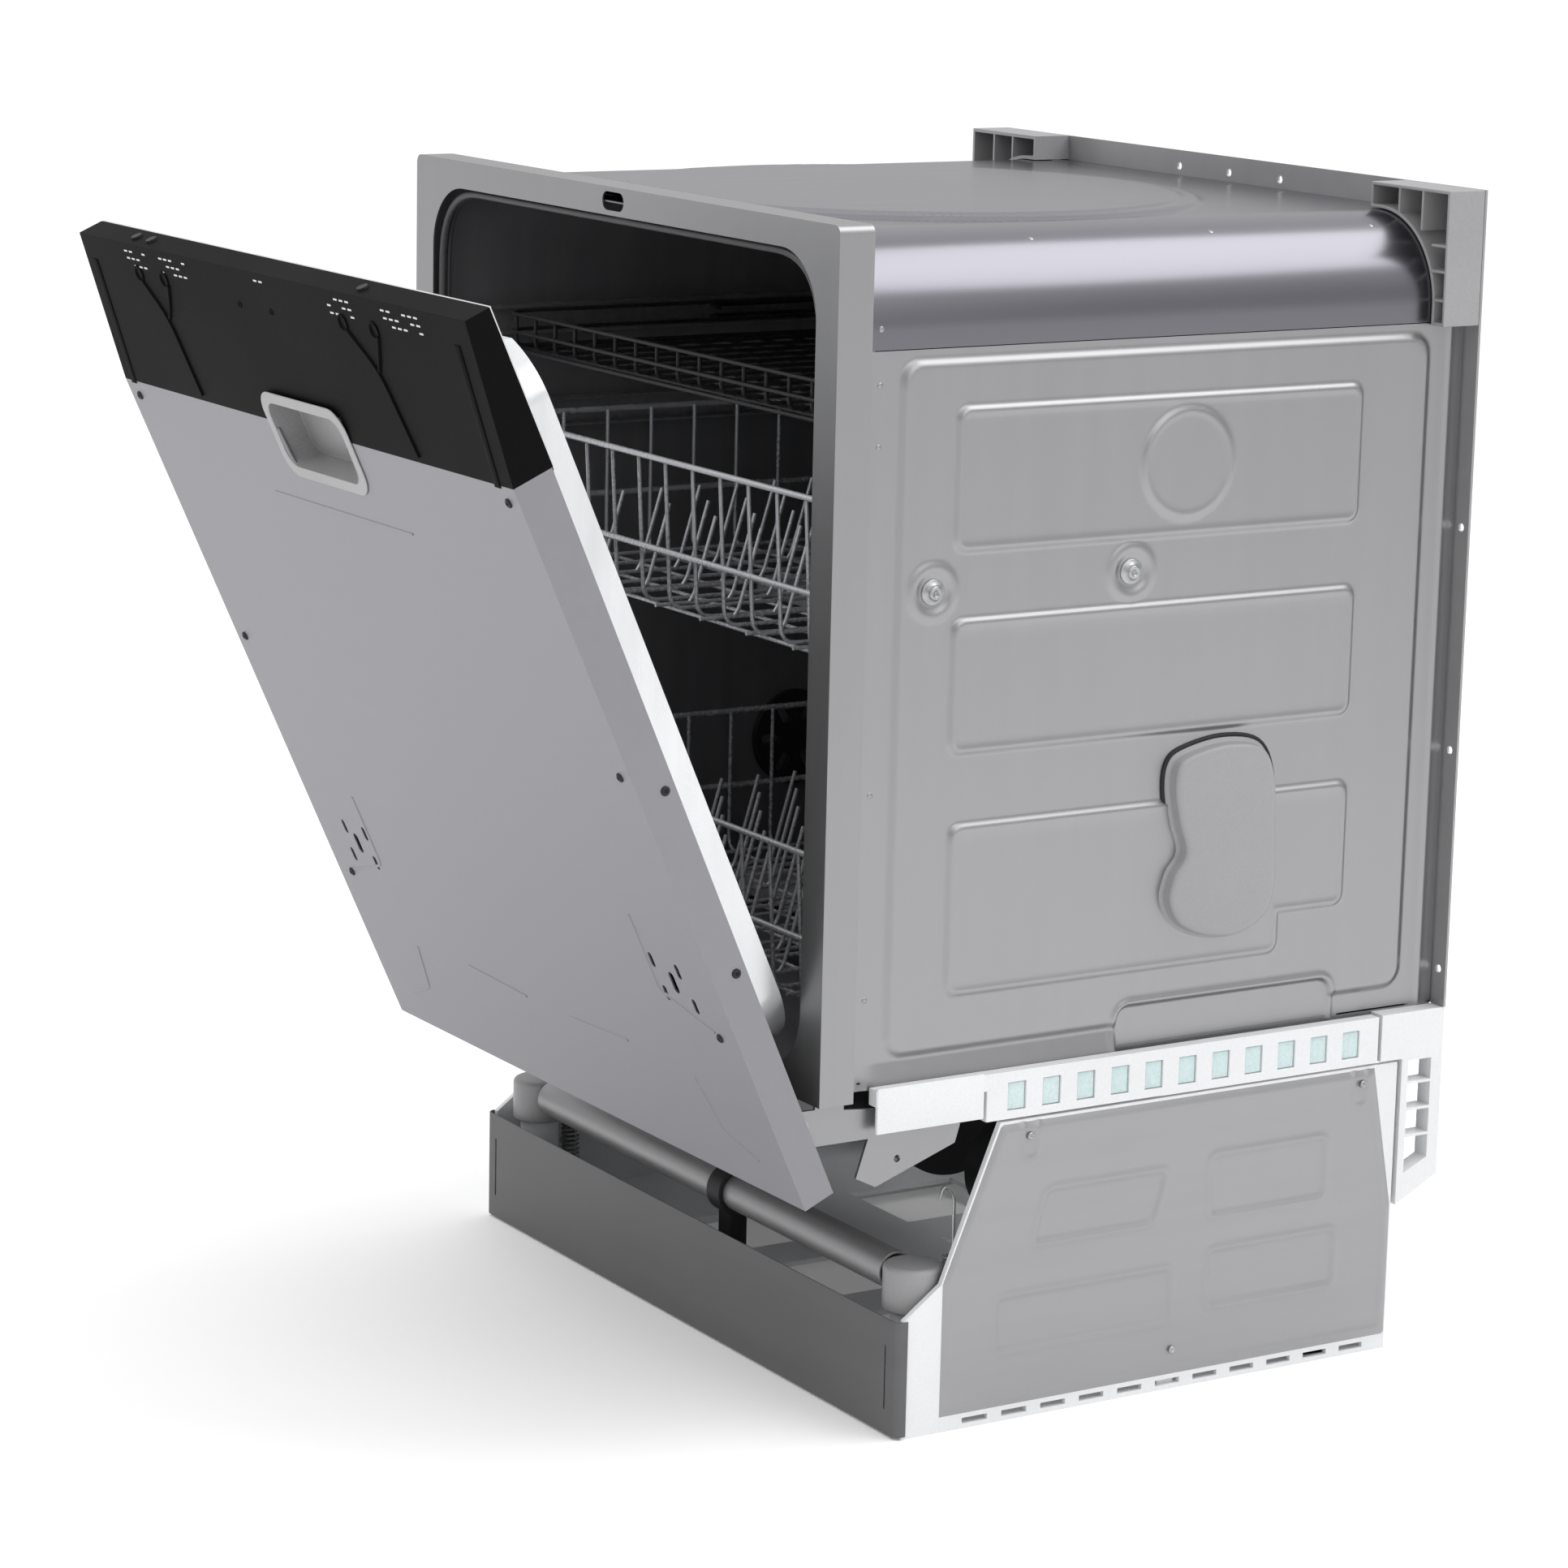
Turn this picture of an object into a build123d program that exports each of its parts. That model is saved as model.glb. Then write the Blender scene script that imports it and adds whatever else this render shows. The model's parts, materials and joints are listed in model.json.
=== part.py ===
from build123d import *
from math import cos, radians, sin
import os

# Built-in dishwasher, 60 cm class, door part open.
# Origin: floor level, middle of the base. +X to the right as seen from the front, +Y to the back, +Z up.

# ---------------------------------------------------------------- driving dimensions, mm
width = 598.0  # over the side plates and the rear frame
depth = 535.0  # front frame to the back of the rear frame
height = 845.0  # to the top of the rear frame
front = -300.0  # plane of the tub's front frame
sheet = 1.2  # steel sheet of the tub, the frames and the door
gap = 0.3  # between neighbours that only have to clear each other
running = 0.05  # radial clearance of a pin in its bore

back = front + depth
half = width / 2

# tub
tub_half = 284.0
tub_top = 826.0
tub_floor_top = 256.0
tub_corner = 62.0
tub_back = 500.0  # inside depth of the tub, from the front frame
pan_rise = 3.0  # how far the pressed side panel stands out
emboss_rise = 2.0  # and the three fields on it

# front frame
frame_half = 297.0
frame_top = 836.0
frame_foot = 246.0
frame_return = 27.0
opening_half = 270.0
opening_low = 262.0
opening_high = 816.0
opening_corner = 45.0
seal_width = 5.5
seal_deep = 12.0
latch_slot = 30.0
latch_slot_height = 13.0

# rear frame and its corner blocks
rear_strip = 36.0
rear_foot = 254.0
rear_hole = 3.0
rear_hole_pitch = 63.0
block_arm = 88.0
block_drop = 95.0
block_depth = 32.0
block_wall = 2.5

# door
door_tilt = 24.4  # from upright, as it stands
door_half = 297.0
panel_height = 552.0
door_height = 664.0
wall_low = 24.0  # depth of the side walls at the foot
wall_high = 30.0  # and at the console
pivot_back = 14.0  # hinge axis in front of the front frame
pivot_z = 232.0
pivot_depth = 18.6  # hinge axis behind the door's outer face
pivot_along = 53.1  # and above its lower edge
pin_radius = 4.0
liner_half = 262.0
liner_low = 87.0
liner_high = 628.0
liner_depth_low = 57.0
liner_depth_high = 62.0
liner_corner = 48.0
console_lean = 12.0
console_wall = 2.5
cup_width = 115.0
cup_height = 54.0
cup_along = 543.0
cup_depth = 22.0
cup_centre = 7.5
button_radius = 4.0
button_depth = 21.5
button_xs = {"power": -215.0, "program": -190.0, "start": 140.0}
latch_along = 650.0
door_slots = [(214, 180), (248, 179), (216, 154), (254, 153)]

# base
kick_y = 67.0  # kick plate behind the front frame
kick_height = 85.0
base_front = 73.0  # front wall of the base, behind the kick plate
base_wall = 4.5
base_floor = 10.0  # underside of the base's floor, above the room's floor
base_floor_thick = 4.0
base_top = 217.0
plate_thick = 2.0
rail_low = 219.0
rail_high = 253.0
foot_x = 268.0
foot_front = 98.0
foot_rear = 440.0
foot_radius = 5.0
foot_travel = 50.0
beam_radius = 14.0
beam_z = 104.0

# baskets
rack_half = 255.0
wire = 2.0
rim_wire = 2.6
upper_rack_low = 530.0
upper_rack_high = 645.0
lower_rack_low = 286.0
lower_rack_high = 400.0
tray_low = 692.0
tray_high = 722.0
rack_front = 40.0  # behind the front frame
rack_back = 470.0
arm_radius = 230.0
wheel_radius = 16.0
sump_y = 260.0
sump_radius = 93.0

os.makedirs("parts", exist_ok=True)


def facing(y):
    """Plane across the machine at y behind the front frame; local x is X and local y is Z."""
    return Plane.XZ.offset(-(front + y))


def beside(x):
    """Plane along the machine at x; local x is Y and local y is Z."""
    return Plane.YZ.offset(x)


def at(y):
    """Row y of a point given as its distance behind the front frame."""
    return front + y


def arch(half_width, low, high, corner):
    """Upright rectangle with its two upper corners rounded, as a sketch to add."""
    with BuildSketch() as shape:
        with BuildLine():
            FilletPolyline(
                (-half_width, low), (-half_width, high), (half_width, high), (half_width, low),
                radius=corner,
            )
            Line((half_width, low), (-half_width, low))
        make_face()
    return shape.sketch


def store(piece, label):
    piece.part.label = label
    export_step(piece.part, f"parts/{label}.step")


def store_mirrored(piece, label):
    """The same piece for the other side of the machine."""
    with BuildPart() as other:
        add(mirror(piece.part, about=Plane.YZ))
    store(other, label)


# the door's own planes, tilted about the hinge axis
inward = (0, cos(radians(door_tilt)), sin(radians(door_tilt)))
upward = (0, -sin(radians(door_tilt)), cos(radians(door_tilt)))
door_foot_y = at(-pivot_back) - pivot_depth * inward[1] - pivot_along * upward[1]
door_foot_z = pivot_z - pivot_depth * inward[2] - pivot_along * upward[2]


def door_face(inside=0.0):
    """Plane of the door's outer face, moved inside by a depth; local y runs up the door."""
    outer = Plane(
        origin=(0, door_foot_y, door_foot_z), x_dir=(1, 0, 0), z_dir=(0, -inward[1], -inward[2])
    )
    return outer.offset(-inside)


def door_side(x):
    """Plane across the door's thickness; local x is depth inside the door, local y runs up it."""
    return Plane(origin=(x, door_foot_y, door_foot_z), x_dir=inward, z_dir=(1, 0, 0))


def door_top(along):
    """Plane across the door at a height up it; local x is X and local y is depth inside."""
    origin = (0, door_foot_y + along * upward[1], door_foot_z + along * upward[2])
    return Plane(origin=origin, x_dir=(1, 0, 0), z_dir=upward)


# ---------------------------------------------------------------- tub
with BuildPart() as tub_shell:
    with BuildSketch(facing(sheet + gap)):
        add(arch(tub_half, tub_floor_top, tub_top, tub_corner))
        inside = arch(tub_half - sheet, tub_floor_top - 1, tub_top - sheet, tub_corner - sheet)
        add(inside, mode=Mode.SUBTRACT)
    extrude(amount=-(depth - 2 - sheet - gap))
    for side in (1, -1):
        with BuildSketch(beside(side * tub_half)):
            with Locations((at(280), 508)):
                RectangleRounded(440, 470, 18)
        extrude(amount=side * pan_rise)
        with BuildSketch(beside(side * (tub_half + pan_rise))):
            for low, high in ((615, 712), (477, 569), (309, 428)):
                with Locations((at(271), (low + high) / 2)):
                    RectangleRounded(343, high - low, 9)
        extrude(amount=side * emboss_rise)
store(tub_shell, "tub_shell")

with BuildPart() as tub_rear_wall:
    with BuildSketch(facing(tub_back)):
        add(arch(tub_half - sheet, tub_floor_top, tub_top - sheet, tub_corner - sheet))
    extrude(amount=-sheet)
store(tub_rear_wall, "tub_rear_wall")

salt_x, salt_y, salt_radius = -150.0, 130.0, 30.0
with BuildPart() as tub_floor:
    with BuildSketch(Plane.XY.offset(tub_floor_top)):
        with Locations((0, at(sheet + gap))):
            Rectangle(2 * tub_half, depth - 2 - sheet - gap, align=(Align.CENTER, Align.MIN))
        with Locations((0, at(sump_y))):
            Circle(sump_radius, mode=Mode.SUBTRACT)
        with Locations((salt_x, at(salt_y))):
            Circle(salt_radius, mode=Mode.SUBTRACT)
    extrude(amount=-sheet)
store(tub_floor, "tub_floor")

with BuildPart() as front_frame:
    with BuildSketch(facing(0)):
        add(arch(frame_half, frame_foot, frame_top, 6))
    extrude(amount=-frame_return)
    with BuildSketch(facing(sheet)):
        add(arch(frame_half - sheet, frame_foot - 1, frame_top - sheet, 6 - sheet))
    extrude(amount=-(frame_return - 2 * sheet), mode=Mode.SUBTRACT)
    with BuildSketch(facing(0)):
        with Locations((0, (opening_low + opening_high) / 2)):
            RectangleRounded(2 * opening_half, opening_high - opening_low, opening_corner)
        with Locations((0, (opening_high + frame_top) / 2)):
            SlotOverall(latch_slot, latch_slot_height)
    extrude(amount=-2 * sheet, mode=Mode.SUBTRACT)
    with BuildSketch(facing(2 * sheet)):
        add(arch(tub_half + gap, frame_foot - 1, tub_top + gap, tub_corner))
    extrude(amount=-frame_return, mode=Mode.SUBTRACT)
store(front_frame, "front_frame")

with BuildPart() as door_seal:
    with BuildSketch(facing(sheet + 2 * gap)):
        add(arch(opening_half - gap, opening_low + opening_corner, opening_high - gap, opening_corner))
        inside = arch(
            opening_half - seal_width, opening_low + opening_corner - 1, opening_high - seal_width,
            opening_corner - seal_width,
        )
        add(inside, mode=Mode.SUBTRACT)
    extrude(amount=-seal_deep)
store(door_seal, "door_seal")

with BuildPart() as rear_frame:
    with BuildSketch(facing(depth - 2)):
        with Locations((0, rear_foot)):
            Rectangle(width, height - rear_foot, align=(Align.CENTER, Align.MIN))
            Rectangle(
                width - 2 * rear_strip, tub_top - 6 - rear_foot,
                align=(Align.CENTER, Align.MIN), mode=Mode.SUBTRACT,
            )
        with Locations((-rear_hole_pitch, height - 12), (0, height - 12), (rear_hole_pitch, height - 12)):
            Circle(rear_hole, mode=Mode.SUBTRACT)
        with Locations(*[(side * 291, z) for side in (-1, 1) for z in (281, 443, 605)]):
            Circle(rear_hole, mode=Mode.SUBTRACT)
    extrude(amount=-2)
store(rear_frame, "rear_frame")



def elbow():
    """Outline of a corner block: it wraps the tub's rounded upper corner."""
    inner = tub_half + 2 * gap
    low = height - block_drop
    centre_x, centre_z = tub_half - tub_corner, tub_top - tub_corner
    reach = inner - centre_x
    with BuildSketch() as shape:
        with BuildLine():
            Polyline(
                (inner, centre_z), (inner, low), (half, low), (half, height), (half - block_arm, height),
                (half - block_arm, centre_z + reach), (centre_x, centre_z + reach),
            )
            CenterArc((centre_x, centre_z), reach, 0, 90)
        make_face()
    return shape.sketch


with BuildPart() as corner_block_right:
    with BuildSketch(facing(depth - 2)):
        add(elbow())
    extrude(amount=block_depth)
    with BuildSketch(facing(depth - 2 - block_depth)):
        add(elbow())
        offset(amount=-block_wall, mode=Mode.REPLACE)
        with Locations((half - 56, height), (half - 30, height)):
            Rectangle(2, 60, mode=Mode.SUBTRACT)
        with Locations(*[(half, z) for z in (768, 788, 806)]):
            Rectangle(36, 2, mode=Mode.SUBTRACT)
    extrude(amount=-(block_depth - block_wall), mode=Mode.SUBTRACT)
store(corner_block_right, "corner_block_right")
store_mirrored(corner_block_right, "corner_block_left")

with BuildPart() as vent_cover:
    with BuildSketch(beside(tub_half + pan_rise + emboss_rise)) as outline:
        with Locations((at(330), 428)):
            RectangleRounded(84, 70, 22)
        with Locations((at(326), 362)):
            RectangleRounded(92, 72, 34)
        with Locations((at(350), 395)):
            Rectangle(44, 90)
    extrude(amount=8)
    fillet(vent_cover.faces().sort_by(Axis.X)[-1].edges(), 3)
store(vent_cover, "vent_cover")

with BuildPart() as rail_bolts:
    for side in (1, -1):
        with BuildSketch(beside(side * (tub_half + pan_rise))):
            with Locations((at(86), 589), (at(248), 592)):
                RegularPolygon(8, 6)
        extrude(amount=side * 5)
store(rail_bolts, "rail_bolts")

grille_y, grille_z, grille_radius = 333.0, 366.0, 38.0
with BuildPart() as wall_grille:
    with BuildSketch(beside(-(tub_half - sheet))):
        with Locations((at(grille_y), grille_z)):
            Circle(grille_radius)
            with PolarLocations(grille_radius * 0.6, 6):
                SlotOverall(18, 8, mode=Mode.SUBTRACT)
    extrude(amount=5)
store(wall_grille, "wall_grille")

with BuildPart() as air_break:
    with BuildSketch(beside(-(tub_half + pan_rise + emboss_rise))):
        with Locations((at(250), 430)):
            RectangleRounded(250, 260, 20)
    extrude(amount=-8)
store(air_break, "air_break")

# ---------------------------------------------------------------- wash system
sump_wall = 3.0
spigot_radius = 12.0
arm_low, arm_high = 265.0, 277.0
filter_x, filter_y, filter_radius = 48.0, sump_y + 30, 28.0
under_floor = tub_floor_top - sheet
with BuildPart() as sump:
    with BuildSketch(Plane.XY.offset(under_floor)):
        with Locations((0, at(sump_y))):
            Circle(sump_radius + sump_wall)
    extrude(amount=-60)
    with BuildSketch(Plane.XY.offset(under_floor)):
        with Locations((0, at(sump_y))):
            Circle(sump_radius)
    extrude(amount=-(60 - sump_wall), mode=Mode.SUBTRACT)
    with BuildSketch(Plane.XY.offset(under_floor - 60 + sump_wall)):
        with Locations((0, at(sump_y))):
            Circle(spigot_radius)
    extrude(amount=arm_high - 3 - (under_floor - 60 + sump_wall))
store(sump, "sump")

with BuildPart() as filter_cup:
    with BuildSketch(Plane.XY.offset(under_floor - 56)):
        with Locations((filter_x, at(filter_y))):
            Circle(filter_radius)
    extrude(amount=62)
    with BuildSketch(Plane.XY.offset(under_floor - 54)):
        with Locations((filter_x, at(filter_y))):
            Circle(filter_radius - 2)
    extrude(amount=62, mode=Mode.SUBTRACT)
    with BuildSketch(Plane.XY.offset(under_floor + 2)):
        with Locations((filter_x, at(filter_y))):
            Rectangle(2 * filter_radius - 3, 5)
    extrude(amount=4)
store(filter_cup, "filter_cup")

with BuildPart() as lower_spray_arm:
    with BuildSketch(Plane.XY.offset(arm_low)):
        with Locations((0, at(sump_y))):
            SlotOverall(2 * arm_radius, 44)
            Circle(28)
    extrude(amount=arm_high - arm_low)
    with BuildSketch(Plane.XY.offset(arm_low)):
        with Locations((0, at(sump_y))):
            Circle(spigot_radius + running)
    extrude(amount=arm_high - arm_low - 2.5, mode=Mode.SUBTRACT)
    fillet(lower_spray_arm.faces().sort_by(Axis.Z)[-1].edges(), 3)
store(lower_spray_arm, "lower_spray_arm")

with BuildPart() as wash_pump:
    with BuildSketch(Plane.YZ.offset(-200)):
        with Locations((at(340), 120)):
            Circle(44)
    extrude(amount=120)
    with BuildSketch(Plane.YZ.offset(-80)):
        with Locations((at(340), 120)):
            Circle(58)
    extrude(amount=34)
store(wash_pump, "wash_pump")

with BuildPart() as drain_pump:
    with BuildSketch(Plane.YZ.offset(120)):
        with Locations((at(300), 110)):
            Circle(26)
    extrude(amount=90)
    with BuildSketch(Plane.YZ.offset(86)):
        with Locations((at(300), 110)):
            Circle(38)
    extrude(amount=34)
store(drain_pump, "drain_pump")

with BuildPart() as water_softener:
    with BuildSketch(Plane.XY.offset(120)):
        with Locations((salt_x - 20, at(165))):
            RectangleRounded(140, 130, 16)
    extrude(amount=110)
    with BuildSketch(Plane.XY.offset(230)):
        with Locations((salt_x, at(salt_y))):
            Circle(salt_radius - 0.5)
    extrude(amount=tub_floor_top + 1 - 230)
store(water_softener, "water_softener")

with BuildPart() as salt_cap:
    with BuildSketch(Plane.XY.offset(tub_floor_top + 1 + gap)):
        with Locations((salt_x, at(salt_y))):
            Circle(salt_radius + 4)
    extrude(amount=4)
    with BuildSketch(Plane.XY.offset(tub_floor_top + 1 + gap + 4)):
        with Locations((salt_x, at(salt_y))):
            Rectangle(46, 8)
    extrude(amount=3)
store(salt_cap, "salt_cap")

with BuildPart() as ceiling_spray:
    with BuildSketch(Plane.XY.offset(tub_top - sheet)):
        with Locations((0, at(sump_y))):
            Circle(46)
    extrude(amount=-9)
    fillet(ceiling_spray.faces().sort_by(Axis.Z)[0].edges(), 4)
store(ceiling_spray, "ceiling_spray")

# ---------------------------------------------------------------- racks and rails
rail_inner = 267.0
rail_web = 279.0
upper_rail_z = 640.0
tray_rail_z = 712.0
rail_height = 22.0
rail_lip = 2.0
slider_height = rail_height - 2 * rail_lip - 2 * gap
slider_back = 440.0
rack_travel, tray_travel = 120.0, 210.0
slider_clear = 25.0  # a slider stays this far behind the front frame
with BuildPart() as rack_rails:
    for side in (1, -1):
        for z in (upper_rail_z, tray_rail_z):
            with BuildSketch(facing(20)):
                with Locations((side * (rail_inner + tub_half - sheet) / 2, z)):
                    Rectangle(tub_half - sheet - rail_inner, rail_height)
                with Locations((side * (rail_inner + rail_web) / 2, z)):
                    Rectangle(rail_web - rail_inner, rail_height - 2 * rail_lip, mode=Mode.SUBTRACT)
            extrude(amount=-470)
store(rack_rails, "rack_rails")


def basket(low, high, rim_low, across, along, rows):
    """Welded wire basket: two rims, a floor of crossed wires and uprights on its four sides.

    The floor also has a wire under each row of plate tines.
    """
    length = rack_back - rack_front
    middle = at((rack_front + rack_back) / 2)
    reach_x = rack_half - wire
    reach_y = length / 2 - wire
    ys = [middle + reach_y * (2 * i / (across - 1) - 1) * 0.9 for i in range(across)]
    xs = [reach_x * (2 * i / (along - 1) - 1) * 0.9 for i in range(along)]
    with BuildPart() as wires:
        for z in (high - 2 * rim_wire, rim_low):
            with BuildSketch(Plane.XY.offset(z)):
                with Locations((0, middle)):
                    RectangleRounded(2 * rack_half, length, 20)
                    RectangleRounded(
                        2 * rack_half - 4 * rim_wire, length - 4 * rim_wire, 20 - 2 * rim_wire,
                        mode=Mode.SUBTRACT,
                    )
            extrude(amount=2 * rim_wire)
        with BuildSketch(Plane.XY.offset(low)):
            with Locations(*[(0, y) for y in ys]):
                Rectangle(2 * rack_half, 2 * wire)
            with Locations(*[(x, middle) for x in [*xs, *rows]]):
                Rectangle(2 * wire, length)
        extrude(amount=2 * wire)
        with BuildSketch(Plane.XY.offset(low + wire)):
            with Locations(*[(side * reach_x, y) for y in ys for side in (-1, 1)]):
                Rectangle(2 * wire, 2 * wire)
            with Locations(*[(x, middle + side * reach_y) for x in xs for side in (-1, 1)]):
                Rectangle(2 * wire, 2 * wire)
        extrude(amount=high - rim_wire - low - wire)
    return wires


def tines(rows, low, length):
    """Plate tines standing in rows that run from the front to the back."""
    with BuildPart() as pegs:
        with BuildSketch(Plane.XY.offset(low)):
            with Locations(*[(x, at(rack_front + 45 + 34 * i)) for x in rows for i in range(11)]):
                Circle(wire)
        extrude(amount=length)
    return pegs


def sliders(z, near):
    """The bars on both sides of a basket that run in its rails; near is their front end."""
    with BuildPart() as bars:
        for side in (1, -1):
            with BuildSketch(facing(near)):
                with Locations((side * (rack_half - 2 * wire + rail_web - 5) / 2, z)):
                    Rectangle(rail_web - 5 - rack_half + 2 * wire, 4)
                with Locations((side * (rail_web - 5), z)):
                    Rectangle(8, slider_height)
            extrude(amount=-(slider_back - near))
    return bars


hub_radius = 9.0
upper_rows = (-152, -18, 108)
lower_rows = (-172, -60, 60, 172)
with BuildPart() as upper_rack:
    add(basket(upper_rack_low, upper_rack_high, 578, 9, 13, upper_rows).part)
    add(tines(upper_rows, upper_rack_low, 62).part)
    add(sliders(upper_rail_z, rack_travel + slider_clear).part)
    with BuildSketch(Plane.XY.offset(upper_rack_low)):
        with Locations((0, at(sump_y))):
            Circle(40)
    extrude(amount=2 * wire)
    with BuildSketch(Plane.XY.offset(upper_rack_low)):
        with Locations((0, at(sump_y))):
            Circle(hub_radius)
    extrude(amount=-22)
store(upper_rack, "upper_rack")

with BuildPart() as upper_spray_arm:
    with BuildSketch(Plane.XY.offset(upper_rack_low - 28)):
        with Locations((0, at(sump_y))):
            SlotOverall(2 * 205, 38)
            Circle(22)
    extrude(amount=12)
    with BuildSketch(Plane.XY.offset(upper_rack_low - 28 + 3)):
        with Locations((0, at(sump_y))):
            Circle(hub_radius + running)
    extrude(amount=12, mode=Mode.SUBTRACT)
store(upper_spray_arm, "upper_spray_arm")

wheel_x, wheel_width = 260.0, 8.0
wheel_z = tub_floor_top + gap + wheel_radius
wheel_ys = {"front": 110.0, "rear": 400.0}
axle_radius = 4.0
with BuildPart() as lower_rack:
    add(basket(lower_rack_low, lower_rack_high, 338, 9, 13, lower_rows).part)
    add(tines(lower_rows, lower_rack_low, 74).part)
    for side in (1, -1):
        for y in wheel_ys.values():
            with BuildSketch(beside(side * (rack_half - 8))):
                with Locations((at(y), wheel_z)):
                    Circle(axle_radius)
            extrude(amount=side * (wheel_x + wheel_width / 2 + 2 - rack_half + 8))
            with BuildSketch(beside(side * (rack_half - 8))):
                with Locations((at(y), (wheel_z + lower_rack_low) / 2 + 4)):
                    Rectangle(22, lower_rack_low - wheel_z + 16)
            extrude(amount=side * 6)
store(lower_rack, "lower_rack")

for name, y in wheel_ys.items():
    with BuildPart() as rack_wheels:
        for side in (1, -1):
            with BuildSketch(beside(side * (wheel_x - wheel_width / 2))):
                with Locations((at(y), wheel_z)):
                    Circle(wheel_radius)
                    Circle(axle_radius + running, mode=Mode.SUBTRACT)
            extrude(amount=side * wheel_width)
    store(rack_wheels, f"rack_wheels_{name}")

with BuildPart() as cutlery_tray:
    with BuildSketch(Plane.XY.offset(tray_low)):
        with Locations((0, at((rack_front + rack_back) / 2))):
            RectangleRounded(2 * rack_half, rack_back - rack_front, 16)
    extrude(amount=tray_high - tray_low)
    with BuildSketch(Plane.XY.offset(tray_low + 2.5)):
        with Locations(*[(x, at((rack_front + rack_back) / 2)) for x in (-170, 0, 170)]):
            RectangleRounded(162, rack_back - rack_front - 6, 14)
    extrude(amount=tray_high, mode=Mode.SUBTRACT)
    with BuildSketch(Plane.XY.offset(tray_low)):
        with Locations((0, at((rack_front + rack_back) / 2))):
            with GridLocations(30, 24, 16, 16):
                Rectangle(20, 15)
    extrude(amount=2.5, mode=Mode.SUBTRACT)
    add(sliders(tray_rail_z, tray_travel + slider_clear).part)
store(cutlery_tray, "cutlery_tray")

# ---------------------------------------------------------------- door
slope = (wall_high - wall_low) / panel_height  # of the side walls' rear edge


def wall_depth(along):
    """Depth of the door's side walls at a height up the door."""
    return wall_low + slope * along


with BuildPart() as door_panel:
    with BuildSketch(door_face()):
        Rectangle(2 * door_half, panel_height, align=(Align.CENTER, Align.MIN))
        with Locations((cup_centre, cup_along)):
            Rectangle(cup_width + 2 * gap, cup_height + 2 * gap, mode=Mode.SUBTRACT)
        with Locations(*[(side * x, along) for side in (-1, 1) for x, along in door_slots]):
            SlotOverall(12, 5, rotation=90, mode=Mode.SUBTRACT)
        with Locations((-235, 167), (235, 167)):
            SlotOverall(17, 7, rotation=90, mode=Mode.SUBTRACT)
    extrude(amount=-sheet)
    for side in (1, -1):
        with BuildSketch(door_side(side * door_half)):
            with BuildLine():
                Polyline(
                    (0, 0), (wall_low, 0), (wall_high, panel_height), (0, panel_height), close=True
                )
            make_face()
        extrude(amount=-side * sheet)
    with BuildSketch(door_top(0)):
        with Locations((0, 0)):
            Rectangle(2 * 268, wall_low, align=(Align.CENTER, Align.MIN))
    extrude(amount=sheet)
store(door_panel, "door_panel")

with BuildPart() as console:
    with BuildSketch(door_side(door_half)):
        with BuildLine():
            Polyline(
                (0, panel_height + gap), (console_lean, door_height), (wall_high + 1, door_height),
                (wall_high + 1, panel_height + gap), close=True,
            )
        make_face()
    extrude(amount=-2 * door_half)
    with BuildSketch(door_side(door_half - console_wall)):
        with BuildLine():
            Polyline(
                (console_wall, panel_height + gap + console_wall),
                (console_lean + console_wall, door_height - console_wall),
                (wall_high + 2, door_height - console_wall),
                (wall_high + 2, panel_height + gap + console_wall), close=True,
            )
        make_face()
    extrude(amount=-2 * (door_half - console_wall), mode=Mode.SUBTRACT)
    with BuildSketch(door_face(-1)):
        with Locations((cup_centre, cup_along)):
            Rectangle(cup_width + 2 * gap, cup_height + 2 * gap)
    extrude(amount=-(cup_depth + 10), mode=Mode.SUBTRACT)
    with BuildSketch(door_top(door_height)):
        with Locations(*[(x, button_depth) for x in button_xs.values()]):
            Circle(button_radius + gap)
    extrude(amount=-2 * console_wall, mode=Mode.SUBTRACT)
store(console, "console")

for name, x in button_xs.items():
    with BuildPart() as button:
        with BuildSketch(door_top(door_height + 1.5)):
            with Locations((x, button_depth)):
                Circle(button_radius)
        extrude(amount=-9)
    store(button, f"{name}_button")

with BuildPart() as handle_cup:
    with BuildSketch(door_face()):
        with Locations((cup_centre, cup_along)):
            RectangleRounded(cup_width, cup_height, 14)
    extrude(amount=-cup_depth)
    with BuildSketch(door_face(-1.2)):
        with Locations((cup_centre, cup_along)):
            RectangleRounded(cup_width + 12, cup_height + 12, 18)
    extrude(amount=-1.2)
    with BuildSketch(door_face(-1.2)):
        with Locations((cup_centre, cup_along)):
            RectangleRounded(cup_width - 5, cup_height - 5, 12)
    extrude(amount=-(cup_depth - 1), mode=Mode.SUBTRACT)
store(handle_cup, "handle_cup")

def raised_tray(profile, inset):
    """The part of the door liner that fills the tub's mouth, from its profile across the door."""
    with BuildPart() as body:
        with BuildSketch(door_side(liner_half - inset)):
            with BuildLine():
                Polyline(*profile, close=True)
            make_face()
        extrude(amount=-2 * (liner_half - inset))
        with BuildSketch(door_face(-1)):
            with Locations((0, (liner_low + liner_high) / 2)):
                RectangleRounded(
                    2 * (liner_half - inset), liner_high - liner_low - 2 * inset, liner_corner - inset
                )
        extrude(amount=-2 * liner_depth_low, mode=Mode.INTERSECT)
    return body.part


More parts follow.
